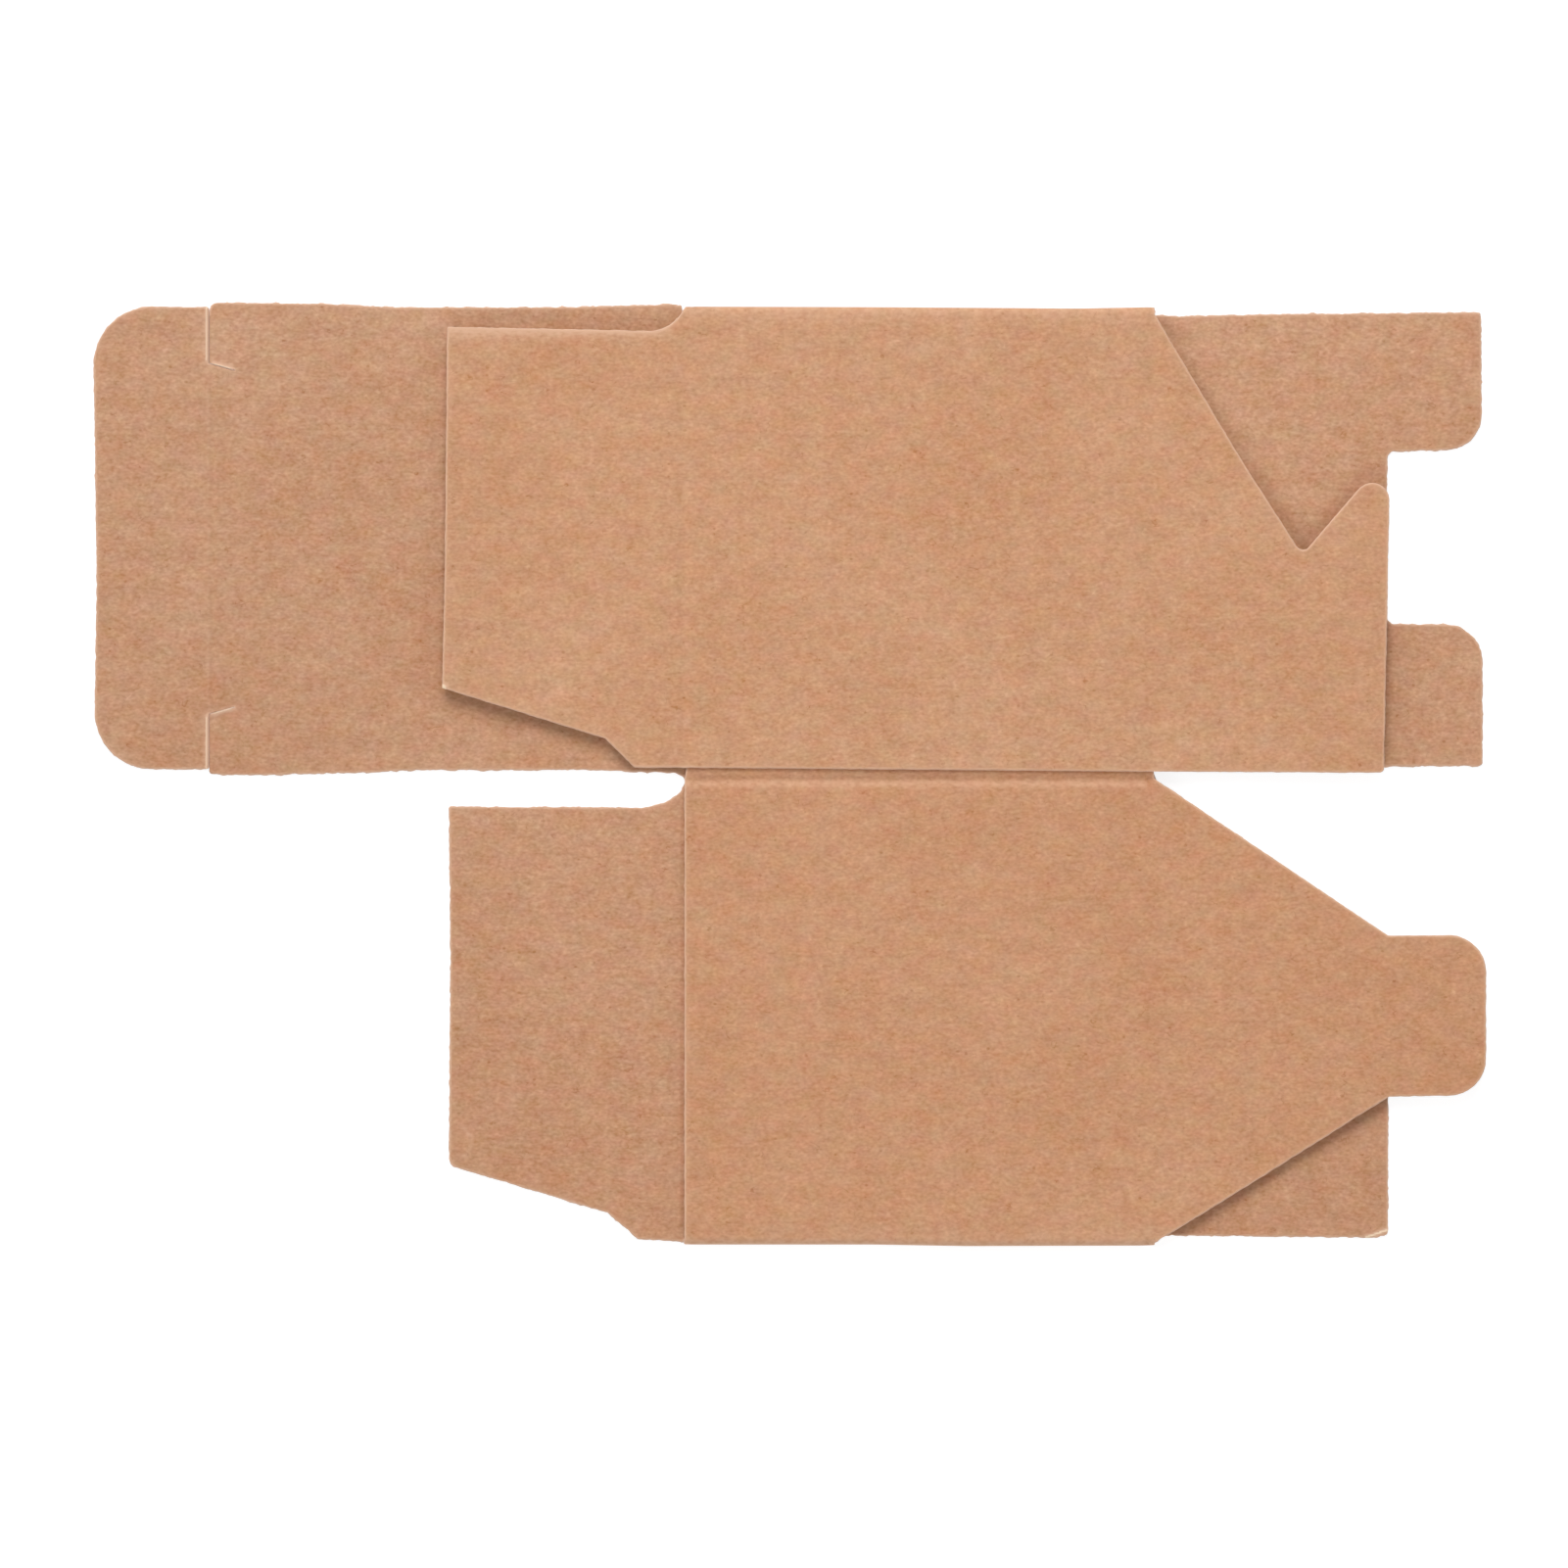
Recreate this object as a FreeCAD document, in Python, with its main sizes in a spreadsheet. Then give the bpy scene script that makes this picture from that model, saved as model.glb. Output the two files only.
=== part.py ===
import FreeCAD, Part
import math
import os
import re
import Sketcher

os.makedirs("parts", exist_ok=True)

# A small favor box of kraft card, pressed flat as it is packed and sold.
#
# The box is one die-cut, creased sheet. Four panels in a row are folded into a tube, a glue strip
# closes it, and the tube is pressed flat: the two back panels lie below with their inside up, and
# the two front panels lie on them with their outside up. At the mouth are a lid with a tuck flap
# and two dust flaps. At the base is a snap lock: a slotted flap, two hook flaps and a tab flap.
#
# +X runs from the tuck flap to the tab flap, +Y towards the fold above the seam, and +Z up, away
# from what the box lies on. The origin is at the middle of the underside.

doc = FreeCAD.newDocument("FavorBox")

# Lengths in mm. "In" and "out" are across and along a flap: out from its crease, in from its fold.
SIZES = [
    ("card", 0.45, "thickness of the card"),
    ("fold_gap", 0.75, "space left inside a pressed fold"),
    ("fold_fullness", 0.9, "roundness of a pressed fold: 1 is a full half round"),
    ("crease_width", 1.0, "width of a crease's groove"),
    ("crease_depth", 0.09, "depth of a crease's groove"),
    ("crease_round", 2.0, "radius at the bottom of a crease's groove"),
    ("corner_round", 0.5, "radius of a small cut corner"),
    ("panel_length", 50.0, "from the mouth's creases to the base's creases"),
    ("panel_width", 49.35, "flat width of a panel between its folds"),
    ("seam_setback", 0.65, "from the back crease line to the front upper panel's cut edge"),
    ("strip_setback", 0.6, "from the back crease line to the glue strip's crease"),
    ("glue_width", 10.0, "width of the glue strip under the front upper panel"),
    ("back_drift", 0.35, "from the back upper panel's middle to its flaps' middle, towards the fold"),
    ("lid_length", 50.6, "from the mouth's crease to the tuck crease"),
    ("lid_width", 50.1, "width of the lid at the tuck crease"),
    ("lid_root", 49.5, "width of the lid at the mouth's crease"),
    ("tuck_length", 12.3, "from the tuck crease to the flap's free edge"),
    ("tuck_width", 49.2, "width of the tuck flap"),
    ("tuck_round", 6.2, "radius of the tuck flap's corners"),
    ("slit_length", 6.3, "slit lock along the tuck crease, from the lid's edge"),
    ("slit_width", 0.25, "width of a slit lock"),
    ("slit_return", 2.6, "slit lock's return into the lid"),
    ("slit_drift", 0.75, "how far the return drifts towards the lid's middle"),
    ("dust_length", 25.1, "from the mouth's crease to a dust flap's free edge"),
    ("dust_taper", 8.2, "how much further in the free edge's corner lies than the far edge"),
    ("dust_shoulder", 4.9, "straight length beside the crease, on the far edge"),
    ("step_run", 3.4, "length of the step beyond the shoulder"),
    ("step_rise", 3.0, "height of the step beyond the shoulder"),
    ("step_round", 1.2, "radius between the shoulder and the step"),
    ("upper_relief", 1.8, "from the fold to the upper dust flap's near edge"),
    ("lower_relief", 3.3, "from the fold to the lower dust flap's near edge"),
    ("relief_root", 0.3, "from the fold to where the relief starts on the crease"),
    ("relief_run", 1.5, "from the crease to the relief's corner"),
    ("relief_round", 4.2, "radius of the relief's corner"),
    ("hook_length", 25.0, "from the base's crease to a hook flap's free edge"),
    ("hook_root", 0.15, "from the fold to where the hook flap's slant starts on the crease"),
    ("hook_rake", 0.5, "how much shorter the hook flap is at its far corner"),
    ("rear_hook_side", 0.55, "how far the rear hook flap's far edge stands in from the fold"),
    ("valley_out", 15.6, "hook flap's valley, out from the crease"),
    ("valley_in", 25.9, "hook flap's valley, in from the fold"),
    ("valley_round", 0.8, "radius at the bottom of the valley"),
    ("tip_in", 15.0, "sharp corner of the hook's tip, in from the fold"),
    ("tip_round", 1.85, "radius of the hook's tip"),
    ("slotted_length", 34.8, "from the base's crease to the slotted flap's free edge"),
    ("slotted_width", 48.3, "width of the slotted flap"),
    ("slot_width", 18.4, "width of the slot that takes the tab"),
    ("slot_depth", 10.1, "depth of the slot"),
    ("slot_round", 0.8, "radius at the bottom of the slot"),
    ("lip_round", 3.9, "radius at the mouth of the slot"),
    ("tab_shoulder", 24.8, "from the base's crease to the tab's root"),
    ("tab_reach", 10.3, "length of the tab beyond its root"),
    ("tab_width", 17.0, "width of the tab"),
    ("tab_round", 3.95, "radius of the tab's corners"),
    ("tab_drift", 0.45, "how far the tab lies from the panel's middle, towards the fold"),
]

# Worked out from the sizes above.
DERIVED = [
    ("front_under", "card + fold_gap", "underside of the front panels"),
    ("front_top", "front_under + card", "outside of the front lower panel"),
    ("fold_round", "fold_fullness * front_top / 2", "outer radius of a pressed fold"),
    ("inner_round", "fold_fullness * fold_gap / 2", "inner radius of a pressed fold"),
    ("first_width", "panel_width - seam_setback", "flat width of the front upper panel"),
    ("rise", "card / first_width", "slope of the front upper panel, up to the glue strip"),
    ("blank_length", "tuck_length + lid_length + panel_length + tab_shoulder + tab_reach", "whole"),
    ("mouth", "tuck_length + lid_length - blank_length / 2", "place of the mouth's creases"),
    ("bottom", "mouth + panel_length", "place of the base's creases"),
    ("tuck_line", "mouth - lid_length", "place of the tuck crease"),
    ("back_middle", "(panel_width + card) / 2 + back_drift", "middle of the lid and slotted flap"),
]

sheet = doc.addObject("Spreadsheet::Sheet", "Sizes")
for row, (alias, content, note) in enumerate(SIZES + DERIVED, start=1):
    sheet.set(f"A{row}", alias)
    sheet.set(f"B{row}", f"={content}" if isinstance(content, str) else str(content))
    sheet.setAlias(f"B{row}", alias)
    sheet.set(f"C{row}", note)
doc.recompute()
ALIASES = {alias for alias, _, _ in SIZES + DERIVED}


def value(text):
    """What an expression in the sheet's names comes to."""
    return float(sheet.evalExpression(text))


def bind(feature, name, text):
    """Tie a property to an expression in the sheet's names."""
    linked = re.sub("[a-z_]+", lambda word: f"Sizes.{word[0]}" if word[0] in ALIASES else word[0], text)
    feature.setExpression(name, linked)


def tilt(feature, name):
    """Turn a placement with the front upper panel, which rises from its fold to the glue strip."""
    turn = FreeCAD.Rotation(FreeCAD.Vector(1, 0, 0), 1)
    setattr(feature, name, FreeCAD.Placement(FreeCAD.Vector(), turn))
    bind(feature, f"{name}.Rotation.Angle", "-atan(rise)")


def new_body(name):
    """A body whose label names the sub-part."""
    body = doc.addObject("PartDesign::Body", name)
    body.Label = name
    return body


def new_sketch(body, name, role, lift="0"):
    """A sketch on one of the body's own origin planes, lifted along that plane's normal."""
    sketch = body.newObject("Sketcher::SketchObject", name)
    plane = next(item for item in body.Origin.OriginFeatures if item.Role == role)
    sketch.AttachmentSupport = [(plane, "")]
    sketch.MapMode = "FlatFace"
    bind(sketch, "AttachmentOffset.Base.z", lift)
    return sketch


def fix_point(sketch, item, end, x, y):
    """Hold a point of the sketch at an expression for each coordinate."""
    for kind, axis, text in (("DistanceX", -2, x), ("DistanceY", -1, y)):
        if text == "0":
            sketch.addConstraint(Sketcher.Constraint("PointOnObject", item, end, axis))
        else:
            rule = sketch.addConstraint(Sketcher.Constraint(kind, -1, 1, item, end, value(text)))
            bind(sketch, f"Constraints[{rule}]", text)


def round_corner(sketch, before, after, corner, stops, turned_left):
    """Join two edges with an arc; their own corner stays as a construction point."""
    x, y, radius = corner
    first, last = stops if turned_left else reversed(stops)
    side = FreeCAD.Vector(0, 0, 1 if turned_left else -1)
    place = FreeCAD.Vector(value(x), value(y), 0)
    centre = stops[0] + side.cross(place - stops[0]).normalize() * value(radius)
    start = math.atan2(first.y - centre.y, first.x - centre.x)
    sweep = (math.atan2(last.y - centre.y, last.x - centre.x) - start) % (2 * math.pi)
    circle = Part.Circle(centre, FreeCAD.Vector(0, 0, 1), value(radius))
    arc = sketch.addGeometry(Part.ArcOfCircle(circle, start, start + sweep))
    point = sketch.addGeometry(Part.Point(place), True)
    fix_point(sketch, point, 1, x, y)
    into, out = (1, 2) if turned_left else (2, 1)
    sketch.addConstraint(Sketcher.Constraint("PointOnObject", point, 1, before))
    sketch.addConstraint(Sketcher.Constraint("PointOnObject", point, 1, after))
    sketch.addConstraint(Sketcher.Constraint("Tangent", before, 2, arc, into))
    sketch.addConstraint(Sketcher.Constraint("Tangent", arc, out, after, 1))
    rule = sketch.addConstraint(Sketcher.Constraint("Radius", arc, value(radius)))
    bind(sketch, f"Constraints[{rule}]", radius)


def add_outline(sketch, corners):
    """A closed loop of straight edges. A corner is (x, y), or (x, y, radius) where it is round."""
    places = [FreeCAD.Vector(value(corner[0]), value(corner[1]), 0) for corner in corners]
    stops = []
    turns = []
    for index, corner in enumerate(corners):
        here = places[index]
        along = (here - places[index - 1]).normalize()
        onward = (places[(index + 1) % len(corners)] - here).normalize()
        trim = value(corner[2]) * math.tan(along.getAngle(onward) / 2) if len(corner) == 3 else 0
        stops.append((here - along * trim, here + onward * trim))
        turns.append(along.cross(onward).z > 0)
    edges = []
    for index in range(len(corners)):
        ends = (stops[index][1], stops[(index + 1) % len(corners)][0])
        edges.append(sketch.addGeometry(Part.LineSegment(*ends)))
    for index, corner in enumerate(corners):
        before, after = edges[index - 1], edges[index]
        if len(corner) == 3:
            round_corner(sketch, before, after, corner, stops[index], turns[index])
        else:
            sketch.addConstraint(Sketcher.Constraint("Coincident", before, 2, after, 1))
            fix_point(sketch, after, 1, *corner)


def add_sheet(body, name, corners, underside="0"):
    """One thickness of card, cut to an outline in the body's own XY plane."""
    sketch = new_sketch(body, f"{name}_outline", "XY_Plane", underside)
    add_outline(sketch, corners)
    pad = body.newObject("PartDesign::Pad", name)
    pad.Profile = sketch
    bind(pad, "Length", "card")


def add_cut(body, name, sketch, length=None, away=False):
    """Cut a sketch out of the body, right through both ways or for a length on one side."""
    doc.recompute()
    volume = body.Shape.Volume
    pocket = body.newObject("PartDesign::Pocket", name)
    pocket.Profile = sketch
    if length is None:
        pocket.Type = "ThroughAll"
        pocket.Midplane = True
    else:
        bind(pocket, "Length", length)
        pocket.Reversed = away
    doc.recompute()
    if not body.Shape.Volume < volume - 1e-4:
        raise ValueError(f"{name} cuts nothing")


def groove(place, surface, depth_sign):
    """Section of a crease's groove at a place along a surface: shallow, with a round bottom."""
    half = "crease_width / 2"
    outside = f"{surface} - {depth_sign} * crease_depth"
    return [
        (f"{place} - {half}", outside),
        (f"{place} + {half}", outside),
        (f"{place} + {half}", surface),
        (place, f"{surface} + {depth_sign} * crease_depth", "crease_round"),
        (f"{place} - {half}", surface),
    ]


def add_flap_crease(body, underneath):
    """Half of the groove along a jointed flap's crease, which lies on the body's own Y axis."""
    surface, sign = ("-card", "1") if underneath else ("0", "-1")
    sketch = new_sketch(body, "crease_section", "XZ_Plane")
    add_outline(sketch, groove("0", surface, sign))
    add_cut(body, "crease_groove", sketch)


def dust_outline(relief, width):
    """A dust flap, from its crease at x = 0: relieved beside the lid, tapered on the far side."""
    return [
        ("0", "-relief_root"),
        ("-relief_run", f"-{relief}", "relief_round"),
        ("-dust_length", f"-{relief}", "corner_round"),
        ("-dust_length", f"dust_taper - {width}", "corner_round"),
        ("-dust_shoulder - step_run", f"step_rise - {width}"),
        ("-dust_shoulder", f"-{width}", "step_round"),
        ("0", f"-{width}"),
    ]


def hook_outline(crease, width):
    """A hook flap, from its crease: a long slant, a valley and a round-tipped hook."""
    return [
        (crease, "-hook_root"),
        (f"{crease} + valley_out", "-valley_in", "valley_round"),
        (f"{crease} + hook_length", "-tip_in", "tip_round"),
        (f"{crease} + hook_length - hook_rake", f"-{width}", "corner_round"),
        (crease, f"-{width}"),
    ]


def add_tube(body):
    """The four panels and the glue strip, folded into a tube, glued and pressed flat."""
    sketch = new_sketch(body, "tube_section", "YZ_Plane", "mouth")
    strip_end = "seam_setback + glue_width"
    strip_groove = "-strip_setback"
    add_outline(
        sketch,
        [
            ("-panel_width - card", "0", "fold_round"),
            ("-crease_width / 2", "0"),
            ("0", "crease_depth", "crease_round"),
            ("crease_width / 2", "0"),
            ("panel_width + card", "0", "fold_round"),
            ("panel_width + card", "front_top - rise * card", "fold_round"),
            ("seam_setback", "front_top + card"),
            ("seam_setback", "front_top"),
            (f"{strip_groove} + crease_width / 2", "front_top"),
            (strip_groove, "front_top - crease_depth", "crease_round"),
            (f"{strip_groove} - crease_width / 2", "front_top"),
            ("-panel_width - card", "front_top", "fold_round"),
        ],
    )
    add_outline(
        sketch,
        [
            ("-panel_width", "card", "inner_round"),
            ("panel_width", "card", "inner_round"),
            ("panel_width", "front_under", "inner_round"),
            (strip_end, "front_top - rise * glue_width"),
            (strip_end, "front_under - rise * glue_width"),
            ("seam_setback", "front_under"),
            ("-panel_width", "front_under", "inner_round"),
        ],
    )
    pad = body.newObject("PartDesign::Pad", "tube")
    pad.Profile = sketch
    bind(pad, "Length", "panel_length")


def add_slit_returns(body):
    """The ends of the two slit locks, which turn from the tuck crease into the lid."""
    sketch = new_sketch(body, "slit_returns", "XY_Plane", "card / 2")
    for side in ("-", "+"):
        edge = f"back_middle {side} lid_width / 2"
        towards = "+" if side == "-" else "-"
        start = f"{edge} {towards} slit_length"
        finish = f"{start} {towards} slit_drift"
        add_outline(
            sketch,
            [
                ("tuck_line - slit_width", start),
                ("tuck_line - slit_width", f"{start} {side} slit_width"),
                ("tuck_line", f"{start} {side} slit_width"),
                ("tuck_line + slit_return", f"{finish} {side} slit_width"),
                ("tuck_line + slit_return", finish),
                ("tuck_line", start),
            ],
        )
    add_cut(body, "slit_return_cuts", sketch)


def add_cross_creases(body):
    """Grooves across the sheet: below on the back, and on the outside of the front panels."""
    below = new_sketch(body, "back_crease_sections", "XZ_Plane")
    for place in ("tuck_line", "mouth", "bottom"):
        add_outline(below, groove(place, "0", "1"))
    add_cut(body, "back_creases", below)

    upper = new_sketch(body, "upper_crease_sections", "XZ_Plane", "-panel_width")
    tilt(upper, "AttachmentOffset")
    bind(upper, "AttachmentOffset.Base.y", "front_top")
    for place in ("mouth", "bottom"):
        add_outline(upper, groove(place, "0", "-1"))
    add_cut(body, "upper_creases", upper)

    lower = new_sketch(body, "lower_crease_section", "XZ_Plane", "-seam_setback")
    add_outline(lower, groove("bottom", "front_top", "-1"))
    add_cut(body, "lower_crease", lower, "panel_width + card + seam_setback", True)


def make_carton():
    """Everything that stays put: the tube, the lid, the slotted flap and the rear hook flap."""
    body = new_body("folded_carton")
    add_tube(body)
    add_sheet(
        body,
        "lid",
        [
            ("mouth", "back_middle - lid_root / 2"),
            ("mouth", "back_middle + lid_root / 2"),
            ("tuck_line", "back_middle + lid_width / 2"),
            ("tuck_line", "back_middle - lid_width / 2"),
        ],
    )
    slotted_end = "bottom + slotted_length"
    low = "back_middle - slotted_width / 2"
    high = "back_middle + slotted_width / 2"
    slot_low = "back_middle - slot_width / 2"
    slot_high = "back_middle + slot_width / 2"
    add_sheet(
        body,
        "slotted_flap",
        [
            ("bottom", low),
            (slotted_end, low, "corner_round"),
            (slotted_end, slot_low, "lip_round"),
            (f"{slotted_end} - slot_depth", slot_low, "slot_round"),
            (f"{slotted_end} - slot_depth", slot_high, "slot_round"),
            (slotted_end, slot_high, "lip_round"),
            (slotted_end, high, "corner_round"),
            ("bottom", high),
        ],
    )
    add_sheet(body, "rear_hook_flap", hook_outline("bottom", "(panel_width - rear_hook_side)"))
    add_slit_returns(body)
    add_cross_creases(body)
    return body


def place_flap(body, along, across, surface):
    """Lay a flap so that its own Y axis, the crease on its top face, meets its panel's crease."""
    bind(body, "Placement.Base.x", along)
    bind(body, "Placement.Base.y", across)
    bind(body, "Placement.Base.z", surface)


def make_tuck_flap():
    """The tuck flap beyond the lid, free of it along the two slit locks."""
    body = new_body("tuck_flap")
    root_low = "slit_length - lid_width / 2"
    root_high = "lid_width / 2 - slit_length"
    add_sheet(
        body,
        "tuck",
        [
            ("0", root_low),
            ("0", root_high),
            ("-slit_width", root_high),
            ("-slit_width", "tuck_width / 2"),
            ("-tuck_length", "tuck_width / 2", "tuck_round"),
            ("-tuck_length", "-tuck_width / 2", "tuck_round"),
            ("-slit_width", "-tuck_width / 2"),
            ("-slit_width", root_low),
        ],
        "-card",
    )
    add_flap_crease(body, underneath=True)
    place_flap(body, "tuck_line", "back_middle", "card")
    return body


def make_upper_dust_flap():
    """The dust flap of the front upper panel. It lies over the lid."""
    body = new_body("upper_dust_flap")
    add_sheet(body, "dust", dust_outline("upper_relief", "first_width"), "-card")
    add_flap_crease(body, underneath=False)
    tilt(body, "Placement")
    place_flap(body, "mouth", "panel_width", "front_top")
    return body


def make_lower_dust_flap():
    """The dust flap of the back lower panel. Nothing lies over it."""
    body = new_body("lower_dust_flap")
    add_sheet(body, "dust", dust_outline("lower_relief", "panel_width"), "-card")
    add_flap_crease(body, underneath=True)
    place_flap(body, "mouth", "0", "card")
    return body


def make_front_hook_flap():
    """The hook flap of the front upper panel. It lies over the slotted flap."""
    body = new_body("front_hook_flap")
    add_sheet(body, "hook", hook_outline("0", "first_width"), "-card")
    add_flap_crease(body, underneath=False)
    tilt(body, "Placement")
    place_flap(body, "bottom", "panel_width", "front_top")
    return body


def make_tab_flap():
    """The tab flap of the front lower panel. It lies over the rear hook flap."""
    body = new_body("tab_flap")
    middle = "-(strip_setback + panel_width) / 2 - tab_drift"
    tab_high = f"{middle} + tab_width / 2"
    tab_low = f"{middle} - tab_width / 2"
    tab_end = "tab_shoulder + tab_reach"
    add_sheet(
        body,
        "tab",
        [
            ("0", "-strip_setback"),
            ("tab_shoulder", tab_high),
            (tab_end, tab_high, "tab_round"),
            (tab_end, tab_low, "tab_round"),
            ("tab_shoulder", tab_low),
            ("0", "-panel_width - card"),
        ],
        "-card",
    )
    add_flap_crease(body, underneath=False)
    place_flap(body, "bottom", "0", "front_top")
    return body


bodies = [
    make_carton(),
    make_tuck_flap(),
    make_upper_dust_flap(),
    make_lower_dust_flap(),
    make_front_hook_flap(),
    make_tab_flap(),
]
doc.recompute()

for item in doc.Objects:
    if "Invalid" in item.State or "Error" in item.State:
        raise ValueError(f"{item.Label} is in state {item.State}")

for body in bodies:
    shape = body.Shape
    if shape.isNull() or not shape.isValid() or len(shape.Solids) != 1:
        raise ValueError(f"{body.Label} has no single valid solid")

for body in bodies:
    body.Shape.exportStep(f"parts/{body.Label}.step")
    print(body.Label, round(body.Shape.Volume, 3), body.Shape.BoundBox)
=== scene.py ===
import math
import bmesh
import bpy
import numpy as np
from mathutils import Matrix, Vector, kdtree, noise
from mathutils.geometry import delaunay_2d_cdt


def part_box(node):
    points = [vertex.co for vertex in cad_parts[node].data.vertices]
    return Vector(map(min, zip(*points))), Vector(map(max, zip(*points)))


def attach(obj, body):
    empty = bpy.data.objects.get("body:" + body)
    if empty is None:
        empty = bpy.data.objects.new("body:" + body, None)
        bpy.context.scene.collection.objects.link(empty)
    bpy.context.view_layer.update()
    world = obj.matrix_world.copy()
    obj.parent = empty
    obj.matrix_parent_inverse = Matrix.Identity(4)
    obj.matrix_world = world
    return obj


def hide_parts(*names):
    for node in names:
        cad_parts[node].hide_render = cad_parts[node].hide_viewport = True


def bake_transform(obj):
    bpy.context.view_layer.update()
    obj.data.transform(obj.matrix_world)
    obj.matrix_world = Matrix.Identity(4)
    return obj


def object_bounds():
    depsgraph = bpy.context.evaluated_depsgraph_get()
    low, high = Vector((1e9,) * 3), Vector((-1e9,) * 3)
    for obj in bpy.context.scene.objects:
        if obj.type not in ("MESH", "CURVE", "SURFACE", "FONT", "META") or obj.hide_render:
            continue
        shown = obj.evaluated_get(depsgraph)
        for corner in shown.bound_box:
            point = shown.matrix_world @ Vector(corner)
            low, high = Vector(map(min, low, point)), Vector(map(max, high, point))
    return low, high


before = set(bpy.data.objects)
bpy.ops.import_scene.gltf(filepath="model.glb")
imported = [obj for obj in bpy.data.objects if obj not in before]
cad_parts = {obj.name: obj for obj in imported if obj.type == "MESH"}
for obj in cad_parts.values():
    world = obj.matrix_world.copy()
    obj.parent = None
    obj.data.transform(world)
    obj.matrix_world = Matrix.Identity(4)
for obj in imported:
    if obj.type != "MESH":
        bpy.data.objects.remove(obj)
cad_box = [list(corner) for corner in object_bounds()]

# A favor box of kraft card, pressed flat. It is one creased sheet, so every piece here is a stretch
# of the same flat blank: x runs along the box, s across the sheet from the back crease, and t through
# the card, from its inside (-) to its outside (+). "lay" brings the blank to where it lies.
# Lengths are in mm until a mesh is made.


def mm(node):
    """Lowest and highest corner of a CAD node, in mm."""
    return [1000 * np.array(corner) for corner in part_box(node)]


# ---- sizes and places -----------------------------------------------------------------------

CARTON = mm("folded_carton")
UPPER_DUST = mm("upper_dust_flap")
LOWER_DUST = mm("lower_dust_flap")
FRONT_HOOK = mm("front_hook_flap")
TAB = mm("tab_flap")
TUCK = mm("tuck_flap")

CARD = TUCK[1][2] - TUCK[0][2]  # thickness of the card
HALF = CARD / 2
MOUTH = UPPER_DUST[1][0]  # x of the panels' crease on the lid's side
BOTTOM = FRONT_HOOK[0][0]  # x of the panels' crease on the base's side
TUCK_LINE = TUCK[1][0]  # x of the tuck flap's crease
TUCK_END = TUCK[0][0]  # x of the tuck flap's free end
UPPER_END = UPPER_DUST[0][0]  # of the upper dust flap's
LOWER_END = LOWER_DUST[0][0]  # of the lower dust flap's
SLOTTED_END = CARTON[1][0]  # of the slotted flap's
TAB_END = TAB[1][0]  # and of the tab's
FOLD_Y = -CARTON[0][1]  # y of a pressed fold's outermost place
FRONT_TOP = TAB[1][2]  # outside of the front lower panel
MIDDLE_ROUND = (FRONT_TOP - CARD) / 2  # radius of the card's middle in a pressed fold
TURN = FOLD_Y - MIDDLE_ROUND - HALF  # where a fold starts to turn, along y and along s
TURNED = TURN + math.pi * MIDDLE_ROUND  # where it ends, along s
ACROSS = TURNED + TURN  # s of the front panels at y = 0
CUT_Y = UPPER_DUST[0][1]  # y of the front upper panel's cut edge
RISE = CARD / (TURN - CUT_Y)  # slope of the front upper panel, up to its cut edge
SAG = 0.42  # how far the front panels sag
SAG_OVER = 9.0  # the stretch beside a fold over which they do
END_GAP = 0.02  # how far a sprung flap's end stands from the level of the seam's side
STRIP = -0.6  # y of the glue strip's crease
GLUED = 10.0  # width of the glue strip
TUCK_LOW, TUCK_HIGH = 6.55, 43.9  # ends of the two slit locks along the tuck crease
TUCK_IN = 0.42  # how far into the lid the tuck crease's groove lies
SLIT = 0.02  # width of the slit locks
RETURN = 2.7  # how far each turns into the lid
SLANT = 0.278  # how much it leans in for each mm of that
RETURN_IN = 0.75  # so how far in it ends
ROOT = 0.8  # how far a flap's piece reaches into its panel
ROOT_IN = 0.22  # how far in a slit lock is by then
MAP_SCALE = 100  # mm of the blank to a unit of its map

# ---- the blank as it lies -------------------------------------------------------------------


def bump(distance, half):
    """1 on a line, falling smoothly to 0 at half a width from it."""
    return np.where(np.abs(distance) < half, 0.5 + 0.5 * np.cos(np.pi * distance / half), 0.0)


def ramp(value, start, end):
    """0 at start, 1 at end, smooth between."""
    share = np.clip((value - start) / (end - start), 0, 1)
    return share * share * (3 - 2 * share)


# The pressed folds aren't quite straight: how far each strays in y along the box.
UPPER_FOLD = ((MOUTH, MOUTH + 20, BOTTOM - 8, BOTTOM), (0.09, 0.03, -0.12, 0.03))
LOWER_FOLD = ((MOUTH, MOUTH + 20, BOTTOM - 20, BOTTOM), (-0.08, -0.08, -0.25, -0.19))
STRAYS_FROM = 40.0  # y from which the panels begin to follow that

# Each crease: runs across ("x") or along ("s"), its place, its ends on the other axis, half the
# width of its groove on the outside, that groove's depth, and the height of its bead on the inside.
PLAIN = (0.62, 0.10, 0.07)
CREASES = [
    ("x", MOUTH, 0.6, TURN, *PLAIN),
    ("x", MOUTH, -TURN, -0.4, *PLAIN),
    ("x", MOUTH - 0.05, TURNED, ACROSS, 1.0, 0.15, 0.06),
    ("x", BOTTOM, 1.2, TURN, *PLAIN),
    ("x", BOTTOM, -TURN, -0.2, *PLAIN),
    ("x", BOTTOM - 0.2, TURNED, ACROSS, 1.3, 0.15, 0.06),
    ("x", BOTTOM, -ACROSS, -TURNED, 1.3, 0.05, 0.06),
    ("x", TUCK_LINE + TUCK_IN, 6.9, 43.7, 0.62, 0.09, 0.15),
    ("s", 0.0, MOUTH, BOTTOM, *PLAIN),
    ("s", -ACROSS - STRIP - 0.06, MOUTH, BOTTOM, 0.80, 0.28, 0.06),
]
BEAD_OFF, BEAD_HALF = 0.52, 0.4  # place and half width of the two ridges that make a bead


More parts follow.
